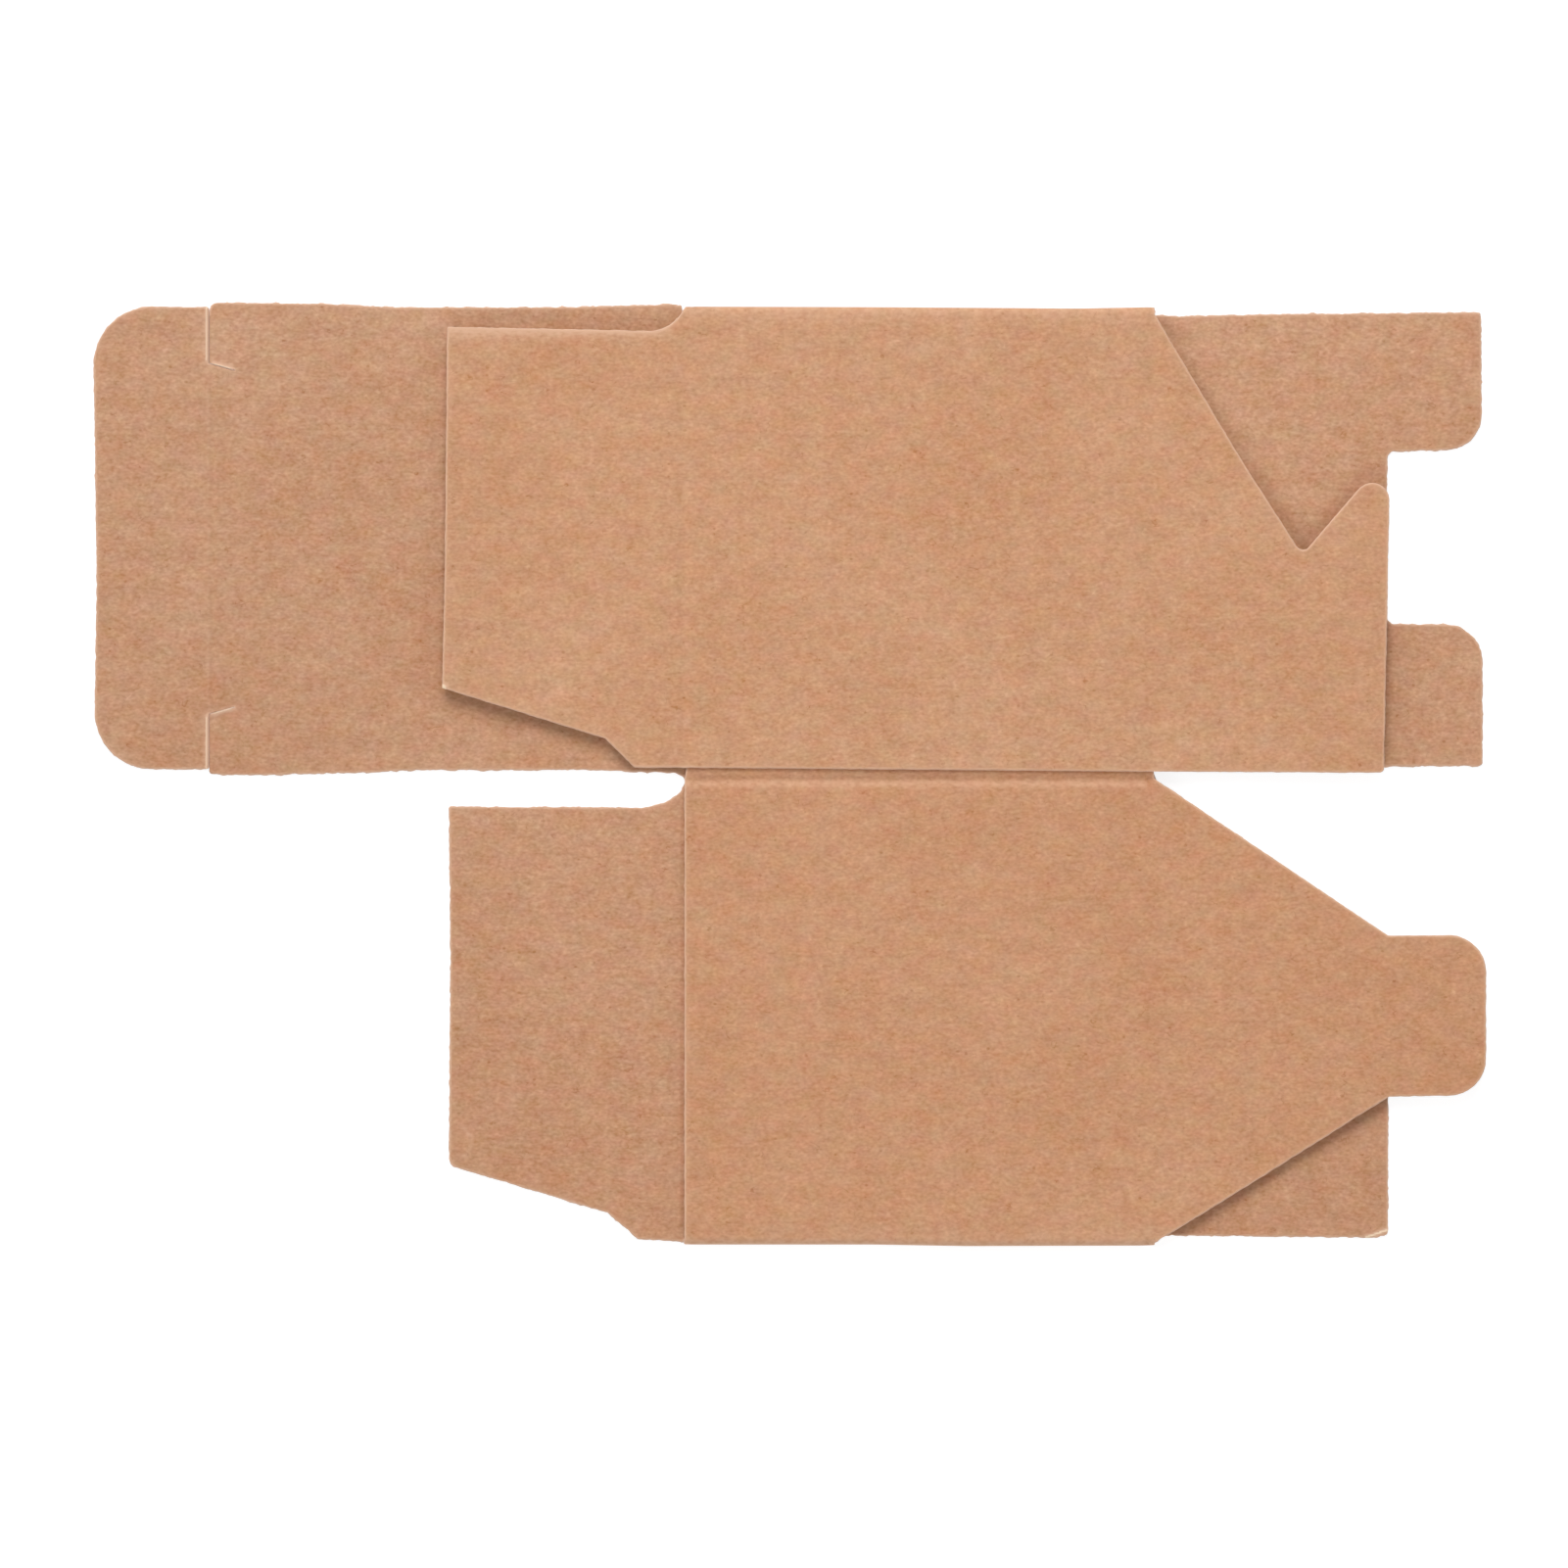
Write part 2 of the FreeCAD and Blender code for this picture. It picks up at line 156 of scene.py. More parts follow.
def pressed(x, s, t):
    """Depth through the card with its creases pressed in: a groove outside, a double bead inside."""
    groove = np.zeros_like(x)
    bead = np.zeros_like(x)
    for way, place, low, high, half, deep, proud in CREASES:
        off, run = (x - place, s) if way == "x" else (s - place, x)
        inside = ramp(run, low - 0.3, low + 0.5) * ramp(-run, -high - 0.3, 0.5 - high)
        groove += deep * bump(off, half) * inside
        bead += proud * (bump(off - BEAD_OFF, BEAD_HALF) + bump(off + BEAD_OFF, BEAD_HALF)) * inside
    through = t / HALF
    return t - np.clip(through, 0, 1) * groove + np.clip(through, -1, 0) * bead


def waves(x, s, scale, seed):
    """Slow unevenness of the sheet, within about 1 either way."""
    places = zip((x / scale).tolist(), (s / scale).tolist())
    return np.array([noise.noise(Vector((a, b, seed))) for a, b in places])


def sagged(y):
    """How far the front panels sag between the folds, which spring open, towards the back panels."""
    return SAG * ramp(TURN - np.abs(y), 0.0, SAG_OVER)


def lay(x, s, t, lift, front):
    """Where points of the blank lie: y and z, in mm. front: this piece is a flap of a front panel."""
    t = pressed(x, s, t)
    beyond = (x < MOUTH - 0.2) | (x > BOTTOM + 0.2)
    back = (np.abs(s) <= TURN) | (beyond & (np.abs(s) < TURNED) & (not front))
    side = np.where(s > 0, 1.0, -1.0)
    angle = (np.abs(s) - TURN) / MIDDLE_ROUND
    radius = MIDDLE_ROUND + t
    y_fold = side * (TURN + radius * np.sin(angle))
    z_fold = HALF + MIDDLE_ROUND - radius * np.cos(angle)
    y_front = side * (ACROSS - np.abs(s))
    slope = RISE * np.where(s > 0, TURN - y_front, -np.clip(y_front - CUT_Y, 0, None))
    z_front = FRONT_TOP - HALF + slope - sagged(y_front) + t + lift(x, s)
    # a flap is flat again just beyond its crease, where its panel still turns in the fold
    flat = np.maximum(ramp(x, BOTTOM, BOTTOM + 0.3), ramp(-x, -MOUTH, 0.3 - MOUTH)) * front
    flat = np.where(np.abs(s) >= TURNED, 1.0, flat)
    y = np.where(back, s, y_fold + flat * (y_front - y_fold))
    z = np.where(back, HALF - t + lift(x, s), z_fold + flat * (z_front - z_fold))
    panel = ramp(x, MOUTH - 1, MOUTH) * ramp(-x, -BOTTOM - 1, -BOTTOM)
    near = ramp(np.abs(y), STRAYS_FROM, TURN) * np.maximum(panel, front)
    y = y + near * np.where(y > 0, np.interp(x, *UPPER_FOLD), np.interp(x, *LOWER_FOLD))
    return y, z


# ---- outlines -------------------------------------------------------------------------------

STEP = 0.3  # spacing of an outline's points
ARC_ANGLE = 0.2  # most that one piece of a rounded corner turns, in radians
STUBS = (0.05, 0.14)  # extra points this far from both ends of a joined edge
MERGED = 1e-4  # points nearer than this are one


def rounded(before, corner, after, radius):
    """Points of a corner: itself, or an arc of the given radius that touches both its edges."""
    if radius <= 0:
        return [corner]
    into = corner - before
    out = after - corner
    into /= np.linalg.norm(into)
    out /= np.linalg.norm(out)
    turn = math.atan2(into[0] * out[1] - into[1] * out[0], into @ out)
    trim = radius * math.tan(abs(turn) / 2)
    side = 1 if turn > 0 else -1
    centre = corner - into * trim + side * radius * np.array([-into[1], into[0]])
    first = corner - into * trim - centre
    pieces = max(2, int(abs(turn) * radius / STEP) + 1, int(abs(turn) / ARC_ANGLE))
    arc = []
    for k in range(pieces + 1):
        cos, sin = math.cos(turn * k / pieces), math.sin(turn * k / pieces)
        turned = [cos * first[0] - sin * first[1], sin * first[0] + cos * first[1]]
        arc.append(centre + np.array(turned))
    return arc


def trace(corners):
    """Points along a closed counter-clockwise outline, which of them are joined, and which end a
    joined stretch. A corner is (x, s, radius, joined), with no radius and not joined unless given;
    joined marks the edge that leaves it as lying against another piece instead of being cut."""
    corners = [tuple(corner) + (0.0, False)[len(corner) - 2 :] for corner in corners]
    count = len(corners)
    at = [np.array(corner[:2], float) for corner in corners]
    arcs = [rounded(at[i - 1], at[i], at[(i + 1) % count], corners[i][2]) for i in range(count)]
    points, joined, ends = [], [], []
    for i in range(count):
        held = corners[i][3]
        held_before = corners[i - 1][3]
        points += arcs[i]
        joined += [held and held_before] * len(arcs[i])
        ends += [held != held_before] * len(arcs[i])
        start, end = arcs[i][-1], arcs[(i + 1) % count][0]
        length = np.linalg.norm(end - start)
        shares = list(np.linspace(0, 1, max(2, int(round(length / STEP)) + 1))[1:-1])
        if held and length > 2 * STEP:
            near = [stub / length for stub in STUBS]
            shares = near + shares + [1 - share for share in reversed(near)]
        points += [start + share * (end - start) for share in shares]
        joined += [held] * len(shares)
        ends += [False] * len(shares)
    points, joined, ends = np.array(points), np.array(joined), np.array(ends)
    keep = np.linalg.norm(points - np.roll(points, 1, 0), axis=1) > MERGED
    return points[keep], joined[keep], ends[keep]


def inward(points):
    """Miter vectors into a counter-clockwise outline: where each corner of a 1 mm inset goes."""
    into = points - np.roll(points, 1, 0)
    out = np.roll(points, -1, 0) - points
    into /= np.linalg.norm(into, axis=1)[:, None]
    out /= np.linalg.norm(out, axis=1)[:, None]
    a = np.stack([-into[:, 1], into[:, 0]], 1)
    b = np.stack([-out[:, 1], out[:, 0]], 1)
    both = a + b
    return both / np.maximum((both * a).sum(1), 0.35)[:, None]  # the limit blunts sharp corners


def holds(points, places):
    """Which places lie inside the outline."""
    inside = np.zeros(len(places), bool)
    x, y = places[:, 0], places[:, 1]
    for (ax, ay), (bx, by) in zip(points, np.roll(points, -1, 0)):
        if ay == by:
            continue
        between = (ay > y) != (by > y)
        inside ^= between & (x < (bx - ax) * (y - ay) / (by - ay) + ax)
    return inside


def tree_of(places):
    """A search tree over places of the blank."""
    tree = kdtree.KDTree(len(places))
    for i, (x, s) in enumerate(places):
        tree.insert((x, s, 0), i)
    tree.balance()
    return tree


def distances(tree, places):
    """How far each place is from the nearest one in the tree."""
    return np.array([tree.find((x, s, 0))[2] for x, s in places])


def beside_lock(x, s):
    """Which places lie along a slit lock: there the edges meet, with no rag."""
    half = 1.5  # of the stretch along x that holds the returns
    on_crease = np.abs(x - TUCK_LINE) < 0.1
    on_return = np.abs(x - TUCK_LINE - half) < half
    between = np.abs(s - (TUCK_LOW + TUCK_HIGH) / 2) < (TUCK_HIGH - TUCK_LOW) / 2 + 0.2
    return on_crease | on_return & between


# Rag of a cut edge, as waves of noise: how many to a mm, how high, and what sets each apart.
RAG_WAVES = ((0.45, 0.4, 0), (1.3, 0.6, 4), (2.9, 0.5, 9))
CLEAN = 0.3  # share of the rag on the front panels and their flaps, which are cut more cleanly
CUT_STEP = 0.06  # spacing of the places that stand for a cut stretch
NEAR_END = 0.5  # from a joined stretch's ends, distances along it are worked out this far
FAR = 9.0  # and stand at this beyond


class Edge:
    """A sheet's traced outline, of which some stretches are cut and others joined to a neighbour."""

    def __init__(self, corners, seed):
        self.points, self.joined, self.ends = trace(corners)
        self.count = len(self.points)
        self.inward = inward(self.points)
        self.cut = tree_of(self.cut_places())
        self.from_end = self.distance_to_ends()
        self.by_lock = beside_lock(self.points[:, 0], self.points[:, 1])
        self.frays = self.rag(seed)

    def cut_places(self):
        """Places set closely along the cut stretches."""
        places = []
        following = np.roll(self.points, -1, 0)
        for i in range(self.count):
            if self.joined[i] or (self.ends[i] and self.joined[(i + 1) % self.count]):
                continue
            way = following[i] - self.points[i]
            steps = max(1, int(np.linalg.norm(way) / CUT_STEP))
            places += [self.points[i] + way * k / steps for k in range(steps)]
        return places

    def from_cut(self, places):
        """How far in from the nearest cut stretch each place lies."""
        return distances(self.cut, places)

    def distance_to_ends(self):
        """How far along a joined stretch each point is from its nearest end."""
        from_end = np.full(self.count, FAR)
        for i in np.flatnonzero(self.ends):
            for way in (1, -1):
                k, far = i, 0.0
                while far < NEAR_END:
                    following = (k + way) % self.count
                    far += np.linalg.norm(self.points[following] - self.points[k])
                    k = following
                    if not self.joined[k]:
                        break
                    from_end[k] = min(from_end[k], far)
        return from_end

    def rag(self, seed):
        """How far out the raggedness takes each point, within about 1 either way."""
        frays = np.zeros(self.count)
        for often, high, apart in RAG_WAVES:
            spots = (self.points * often).tolist()
            frays += high * np.array([noise.noise(Vector((x, s, seed + apart))) for x, s in spots])
        frays[self.joined | self.ends] = 0
        frays[np.abs(self.points[:, 1]) > TURNED] *= CLEAN
        frays[self.by_lock] = 0
        return frays


# ---- points inside a sheet ------------------------------------------------------------------

GRAIN = 1.05  # spacing of a sheet's inner points
ROW_STEP = 0.8  # spacing of the points in a row along a crease or fold
DETAIL_STEP = 0.21  # spacing of the points where small wear is
CLEAR = 0.1  # least distance of an inner point from the innermost ring
APART = 0.11  # least distance between two inner points
ACROSS_CREASE = (-1.0, -0.75, -0.55, -0.42, -0.28, -0.14, 0.0, 0.14, 0.28, 0.42, 0.55, 0.75, 1.0)
ACROSS_FOLD = tuple(np.linspace(-0.1, TURNED - TURN + 0.1, 13))
SHOULDER = (0.26, 0.48, 0.78)  # rows of points that follow the cut edge further in


def rows_for(low, high):
    """The creases and folds that cross a stretch of the blank, as rows of points."""
    rows = []
    for way, place, start, end, *_ in CREASES:
        if way == "x" and low[0] - 1 < place < high[0] + 1:
            rows.append((way, place, max(start, low[1]), min(end, high[1]), ACROSS_CREASE))
        if way == "s" and low[1] - 1 < place < high[1] + 1:
            rows.append((way, place, max(start, low[0]), min(end, high[0]), ACROSS_CREASE))
    for side in (1, -1):
        if low[1] < side * TURN < high[1]:
            offsets = ACROSS_FOLD if side > 0 else tuple(-off for off in ACROSS_FOLD)
            rows.append(("s", side * TURN, MOUTH, BOTTOM, offsets))
    return rows


def grid_for(outline):
    """Inner points of a sheet: an even triangular grid, with finer rows along creases and folds."""
    low, high = outline.min(0), outline.max(0)
    grid = [
        (x + (GRAIN / 2 if k % 2 else 0), s)
        for k, s in enumerate(np.arange(low[1], high[1], GRAIN * 0.866))
        for x in np.arange(low[0], high[0], GRAIN)
    ]
    grid = np.array(grid)
    extra = []
    for way, place, start, end, offsets in rows_for(low, high):
        run = np.arange(start + 0.35, end - 0.2, ROW_STEP)
        for off in offsets:
            across = np.full_like(run, place + off)
            extra.append(np.stack([across, run] if way == "x" else [run, across], 1))
        off = (grid[:, 0] - place) if way == "x" else (grid[:, 1] - place)
        along = grid[:, 1] if way == "x" else grid[:, 0]
        near = (off > min(offsets) - 0.4) & (off < max(offsets) + 0.4)
        grid = grid[~(near & (along > start) & (along < end))]
    return np.concatenate([grid] + extra) if extra else grid


def inner_points(edge, inner, details):
    """Points inside a sheet's innermost ring: the grid, rows that follow the cut edge, and details."""
    grid = grid_for(inner)
    grid = grid[edge.from_cut(grid) > SHOULDER[-1] + 0.3]
    for cx, cs, reach in details:
        grid = grid[np.hypot(grid[:, 0] - cx, grid[:, 1] - cs) > reach]
        steps = np.arange(-reach, reach, DETAIL_STEP)
        fine = [(cx + a, cs + b) for a in steps for b in steps if math.hypot(a, b) < reach]
        grid = np.concatenate([grid, np.array(fine)])
    # in tight corners the rows come too near the cut, and those points go
    rows = []
    for k, inset in enumerate(SHOULDER):
        row = (edge.points + edge.inward * inset)[~edge.joined & ~edge.ends][:: 1 + k // 2]
        rows.append(row[edge.from_cut(row) > inset * 0.93])
    grid = np.concatenate([grid] + rows)
    grid = grid[holds(inner, grid)]
    grid = grid[distances(tree_of(inner), grid) > CLEAR]
    # of points that nearly meet, only the first is kept
    tree = tree_of(grid)
    alone = [
        all(i >= k for _, i, _ in tree.find_range((x, s, 0), APART)) for k, (x, s) in enumerate(grid)
    ]
    return grid[alone]


def filled(name, inner, grid):
    """Triangles between the points of a ring and those inside it, numbered in that order."""
    count = len(inner)
    flat = [Vector(place) for place in np.concatenate([inner, grid])]
    loop = [(i, (i + 1) % count) for i in range(count)]
    found, _, faces, source, _, _ = delaunay_2d_cdt(flat, loop, [list(range(count))], 1, 1e-6)
    crossed = [found[i] for i, points in enumerate(source) if not points]
    if crossed:
        raise ValueError(f"{name} crosses itself near {[tuple(place) for place in crossed[:8]]}")
    origin = [min(points) for points in source]
    return np.array([[origin[v] for v in face] for face in faces])


# ---- meshes ---------------------------------------------------------------------------------

LIP = 0.12  # how far in from a cut edge the card rounds over
LOCK_LIP = 0.4  # share of that along the slit locks, whose edges are hardly rounded
WORN = 1.0  # how far in from a cut edge the card is pressed thinner
# Section of a cut edge, from the outside round to the inside: how far in from the edge, depth through
# the card as a share of its half, and how much of the edge's rag shows.
SECTION = [
    (LIP, 0.91, 0.4),
    (0.045, 0.74, 0.8),
    (0.0, 0.4, 1.2),
    (0.0, -0.4, 0.8),
    (0.045, -0.74, 0.8),
    (LIP, -0.91, 0.4),
]
ON_OUTSIDE, ON_INSIDE, ON_CUT = 0, 1, 2  # a face's material
SHARP = math.radians(55)  # edges that turn more than this stay sharp


def thinned(distance):
    """Share of the card's half thickness left at a distance in from the cut edge."""
    return 1 - 0.15 * np.clip(1 - distance / WORN, 0, 1) ** 2


def nothing(x, s):
    """No lift, or no wear."""
    return np.zeros_like(x)


def section_rings(edge, rag):
    """The rings of points round the sheet's edge that its section asks for: places and depths."""
    straight = edge.joined & (edge.from_end > LIP)  # against a neighbour the wall stands straight
    fade = np.where(edge.joined, np.clip(1 - edge.from_end / LIP, 0, 1), 1.0)
    rounding = np.where(edge.by_lock & ~edge.joined & ~edge.ends, LOCK_LIP, 1.0)
    rings = []
    for inset, depth, share in SECTION:
        held = inset if inset == LIP else 0
        away = np.where(straight, held, inset * rounding) - rag * share * edge.frays
        place = edge.points + edge.inward * away[:, None]
        through = np.full(edge.count, depth)
        if abs(depth) > 0.5:
            surface = np.sign(depth) * thinned(edge.from_cut(place))
            through = surface + (depth - surface) * fade
        rings.append((place, through * HALF))
    return rings


def edge_and_paling(edge, wear_and_highlight, x, s):
    """What the material reads on each point: how far in from a cut it lies, and how much paler it is
    made, by rubbing and, where so marked, as painted highlight.
    """
    from_cut = edge.from_cut(np.stack([x, s], 1))
    # the lid's side of the slit locks is still closed up and unworn
    on_lid = (x > TUCK_LINE - 0.005) & (x < TUCK_LINE + 0.5) & (s > 0) & (s < TURN)
    closed = on_lid & ((s > TUCK_HIGH) | (s < TUCK_LOW))
    from_cut = np.where(closed, np.maximum(from_cut, 0.4), from_cut)
    panels = (x > MOUTH - 0.3) & (x < BOTTOM + 0.3)
    paled = bump(np.abs(s) - (TURN + TURNED) / 2, 2.6) * panels
    return from_cut, paled + wear_and_highlight(x, s)


def give_map(mesh, edge, kinds, x, s, t):
    """The blank's own coordinates are the map that its material reads; a cut has a map of its own."""
    corner_vertex = np.empty(len(mesh.loops), int)
    mesh.loops.foreach_get("vertex_index", corner_vertex)
    sizes = np.empty(len(mesh.polygons), int)
    mesh.polygons.foreach_get("loop_total", sizes)
    on_cut = np.repeat(np.array(kinds), sizes) == ON_CUT
    run = np.concatenate([[0], np.cumsum(np.linalg.norm(np.diff(edge.points, axis=0), axis=1))])
    face_map = np.stack([x[corner_vertex], s[corner_vertex]], 1)
    cut_map = np.stack([run[corner_vertex % edge.count], t[corner_vertex]], 1)
    blank = np.where(on_cut[:, None], cut_map, face_map) / MAP_SCALE
    layer = mesh.uv_layers.new(name="blank")
    layer.uv.foreach_set("vector", blank.astype(np.float32).ravel())


def make_sheet(name, corners, lift, rag, seed, front=False, wear_and_highlight=nothing, details=()):
    """A stretch of the blank as a closed mesh with rounded, slightly ragged cut edges.
    lift: how far its points stand up. rag, seed: how ragged its edges are, and in what way.
    front: see lay. wear_and_highlight: how much paler it is made besides the pressed folds, by rubbing
    and partly as painted highlight. details: circles (x, s, radius) that get finer points for small
    marks."""
    edge = Edge(corners, seed)
    rings = section_rings(edge, rag)
    inner = rings[0][0]
    grid = inner_points(edge, inner, details)
    triangles = filled(name, inner, grid)

    # the points: the rings, then the grid on the outside, then the same on the inside
    count, levels = edge.count, len(SECTION)
    last_ring = (levels - 1) * count
    on_ring = triangles < count
    outer = triangles + np.where(on_ring, 0, last_ring)
    under = triangles + last_ring + np.where(on_ring, 0, len(grid))
    x = np.concatenate([place[:, 0] for place, _ in rings] + [grid[:, 0], grid[:, 0]])
    s = np.concatenate([place[:, 1] for place, _ in rings] + [grid[:, 1], grid[:, 1]])
    through = thinned(edge.from_cut(grid)) * HALF
    t = np.concatenate([depth for _, depth in rings] + [through, -through])
    along = np.arange(count)
    onward = (along + 1) % count
    walls = []
    for k in range(levels - 1):
        a, b = k * count, (k + 1) * count
        walls.append(np.stack([a + along, b + along, b + onward, a + onward], 1))
    faces = outer.tolist() + under[:, ::-1].tolist() + np.concatenate(walls).tolist()
    kinds = [ON_OUTSIDE] * len(outer) + [ON_INSIDE] * len(under)
    kinds += [ON_OUTSIDE] * count + [ON_CUT] * (count * (levels - 3)) + [ON_INSIDE] * count

    y, z = lay(x, s, t, lift, front)
    mesh = bpy.data.meshes.new(name)
    mesh.from_pydata((np.stack([x, y, z], 1) / 1000).tolist(), [], faces)
    mesh.polygons.foreach_set("material_index", kinds)
    mesh.update()
    for label, values in zip(("from_cut", "wear_and_highlight"), edge_and_paling(edge, wear_and_highlight, x, s)):
        attribute = mesh.attributes.new(label, "FLOAT", "POINT")
        attribute.data.foreach_set("value", values.astype(np.float32))
    give_map(mesh, edge, kinds, x, s, t)
    mesh.validate()
    mesh.shade_smooth()
    mesh.set_sharp_from_angle(angle=SHARP)
    piece = bpy.data.objects.new(name, mesh)
    bpy.context.collection.objects.link(piece)
    for material in (OUTSIDE, INSIDE, CUT):
        mesh.materials.append(material)
    # the winding is set once from the volume, whichever way this stretch of the blank lies
    work = bmesh.new()
    work.from_mesh(mesh)
    if work.calc_volume(signed=True) < 0:
        bmesh.ops.reverse_faces(work, faces=work.faces)
    work.to_mesh(mesh)
    work.free()
    return piece


# ---- materials ------------------------------------------------------------------------------


class Nodes:
    """Short forms for the nodes that a material or the world is made of."""

    def __init__(self, owner):
        owner.use_nodes = True
        self.tree = owner.node_tree
        self.tree.nodes.clear()

    def add(self, kind, **settings):
        node = self.tree.nodes.new(kind)
        for key, value in settings.items():
            setattr(node, key, value)
        return node

    def put(self, socket, value):
        """Set a socket to a number or a tuple, or link another node's output to it."""
        if isinstance(value, (int, float, tuple)):
            socket.default_value = value
        else:
            self.tree.links.new(value, socket)

    def split(self, kind, value):
        """The three parts of a vector or a colour."""
        node = self.add(kind)
        self.put(node.inputs[0], value)
        return node.outputs

    def scaled(self, source, often, offset=(0, 0), turn=0.0):
        """A place times often along each axis, then turned, then moved."""
        node = self.add("ShaderNodeMapping")
        self.put(node.inputs["Scale"], (*often, 0))
        self.put(node.inputs["Location"], (*offset, 0))
        self.put(node.inputs["Rotation"], (0, 0, turn))
        self.put(node.inputs["Vector"], source)
        return node.outputs["Vector"]

    def noise(self, place, detail, rough=0.5):
        """Noise at a place that "scaled" has made; its outputs are "Fac" and "Color"."""
        node = self.add("ShaderNodeTexNoise", noise_dimensions="2D")
        self.put(node.inputs["Scale"], 1.0)
        self.put(node.inputs["Detail"], detail)
        self.put(node.inputs["Roughness"], rough)
        self.put(node.inputs["Vector"], place)
        return node.outputs

    def math(self, operation, *values, clamp=False):
        node = self.add("ShaderNodeMath", operation=operation, use_clamp=clamp)
        for socket, value in zip(node.inputs, values):
            self.put(socket, value)
        return node.outputs[0]

    def weighted(self, *parts):
        """Sum of noises about their middle, each with its weight."""
        total = None
        for value, weight in parts:
            part = self.math("MULTIPLY", self.math("SUBTRACT", value, 0.5), weight)
            total = part if total is None else self.math("ADD", total, part)
        return total

    def vector(self, operation, *values):
        node = self.add("ShaderNodeVectorMath", operation=operation)
        for socket, value in zip(node.inputs, values):
            self.put(socket, value)
        return node.outputs[0]

    def span(self, value, low, high, to_low, to_high, smooth=False):
        """The value's way from low to high, as a way from to_low to to_high; it stops at both."""
        node = self.add("ShaderNodeMapRange", interpolation_type="SMOOTHSTEP" if smooth else "LINEAR")
        ends = {"From Min": low, "From Max": high, "To Min": to_low, "To Max": to_high}
        for name, number in ends.items():
            self.put(node.inputs[name], number)
        self.put(node.inputs["Value"], value)
        return node.outputs["Result"]

    def mix(self, share, colour, other):
        """A share of the way from a colour to another, which is (red, green, blue)."""
        node = self.add("ShaderNodeMix", data_type="RGBA")
        self.put(node.inputs["Factor"], share)
        self.put(node.inputs[6], colour)
        self.put(node.inputs[7], (*other, 1))
        return node.outputs[2]

    def show(self, kind, shader):
        """Link a shader to the tree's output node, which is of this kind."""
        self.put(self.add(kind).inputs["Surface"], shader.outputs[0])


def stray_fibres(n, at):
    """Sparse fibres, dark and pale: short stretches of a noise's contour lines."""
    curl = n.noise(n.scaled(at, (0.55, 0.9), (71, 13)), 1)["Fac"]
    line = n.span(n.math("ABSOLUTE", n.math("SUBTRACT", curl, 0.5)), 0.004, 0.013, 1, 0, True)
    patch = n.noise(n.scaled(at, (0.75, 0.75), (3, 41)), 0)["Fac"]
    dark = n.math("MULTIPLY", line, n.span(patch, 0.66, 0.72, 0, 1, True))
    pale = n.math("MULTIPLY", line, n.span(patch, 0.33, 0.27, 0, 1, True))
    return dark, pale


def specks(n, at):
    """Dark specks of many sizes: discs in a few of the cells that the sheet is divided into."""
    cells = n.add("ShaderNodeTexVoronoi", voronoi_dimensions="2D", feature="F1")
    n.put(cells.inputs["Scale"], 1.0)
    n.put(cells.inputs["Vector"], n.scaled(at, (0.62, 0.8), (13, 29)))
    chance = n.split("ShaderNodeSeparateColor", cells.outputs["Color"])[0]
    size = n.span(chance, 0.80, 1.0, 0.0, 0.13)
    disc = n.span(n.math("SUBTRACT", cells.outputs["Distance"], size), -0.03, 0.01, 1, 0, True)
    return n.math("MULTIPLY", disc, n.span(chance, 0.80, 0.86, 0, 1))


def board_colour(n, at, fibre, grain, shade, spread):
    """The board's colour: what is darker is also deeper, and the tint wanders along orange to grey
    and pink to green."""
    blots = n.noise(n.scaled(at, (0.36, 0.5), (5, 17)), 1.8, 0.62)["Color"]
    cloud = n.noise(n.scaled(at, (0.06, 0.06), (2, 9)), 1, 0.6)["Fac"]
    drift, blush, blot = n.split("ShaderNodeSeparateColor", blots)
    fine = n.weighted((fibre, 0.46 * spread), (grain, 0.29 * spread))
    dark, pale = stray_fibres(n, at)
    fine = n.math("SUBTRACT", fine, n.math("MULTIPLY", dark, 0.24))
    fine = n.math("SUBTRACT", fine, n.math("MULTIPLY", specks(n, at), 0.20))
    fine = n.math("ADD", fine, n.math("MULTIPLY", pale, 0.14))
    parts = (
        (fine, (0.64, 1.0, 1.38)),
        (n.weighted((blot, 0.28 * spread), (cloud, 0.17)), (0.54, 1.08, 1.62)),
        (n.math("SUBTRACT", drift, 0.5), (0.16, 0.048, -0.096)),
        (n.math("SUBTRACT", blush, 0.5), (0.077, -0.123, 0.055)),
    )
    colour = (1, 1, 1)
    for amount, tint in parts:
        colour = n.vector("MULTIPLY_ADD", amount, tint, colour)
    return n.vector("MULTIPLY", colour, shade)


def painted_falloff_and_tint(n, colour, place, across):
    """Painted shade: the sheet is a little darker towards its ends, where the light falls off. Across it
    the sheet is lighter towards the upper panels and deeper in colour towards the lower ones: partly
    painted shade for light that weakens away from the key, partly the board's own tint.
    """
    x, s, _ = n.split("ShaderNodeSeparateXYZ", n.scaled(place, (MAP_SCALE, MAP_SCALE)))
    parts = (
        # painted shade towards both ends of the box, where the light falls off
        (n.span(x, -20, -52, 0, -1, True), (0.062, 0.060, 0.060)),
        (n.span(x, 48, 74, 0, -1, True), (0.03, 0.046, 0.058)),
        # lighter towards the upper panels: partly painted shade, partly the board's tint
        (n.span(s, -100, 100, -100, 100), across),  # s, held within the panels
    )
    for amount, tint in parts:
        colour = n.vector("MULTIPLY", colour, n.vector("MULTIPLY_ADD", amount, tint, (1, 1, 1)))
    return colour


RUBBED = 0.80  # how much of the paler tone shows right at a cut edge
PALER = (1.20, 1.40, 1.65)  # that tone, as a share of the board's own
BARE = (0.90, 0.70, 0.50)  # torn card, where its fibres stand bare


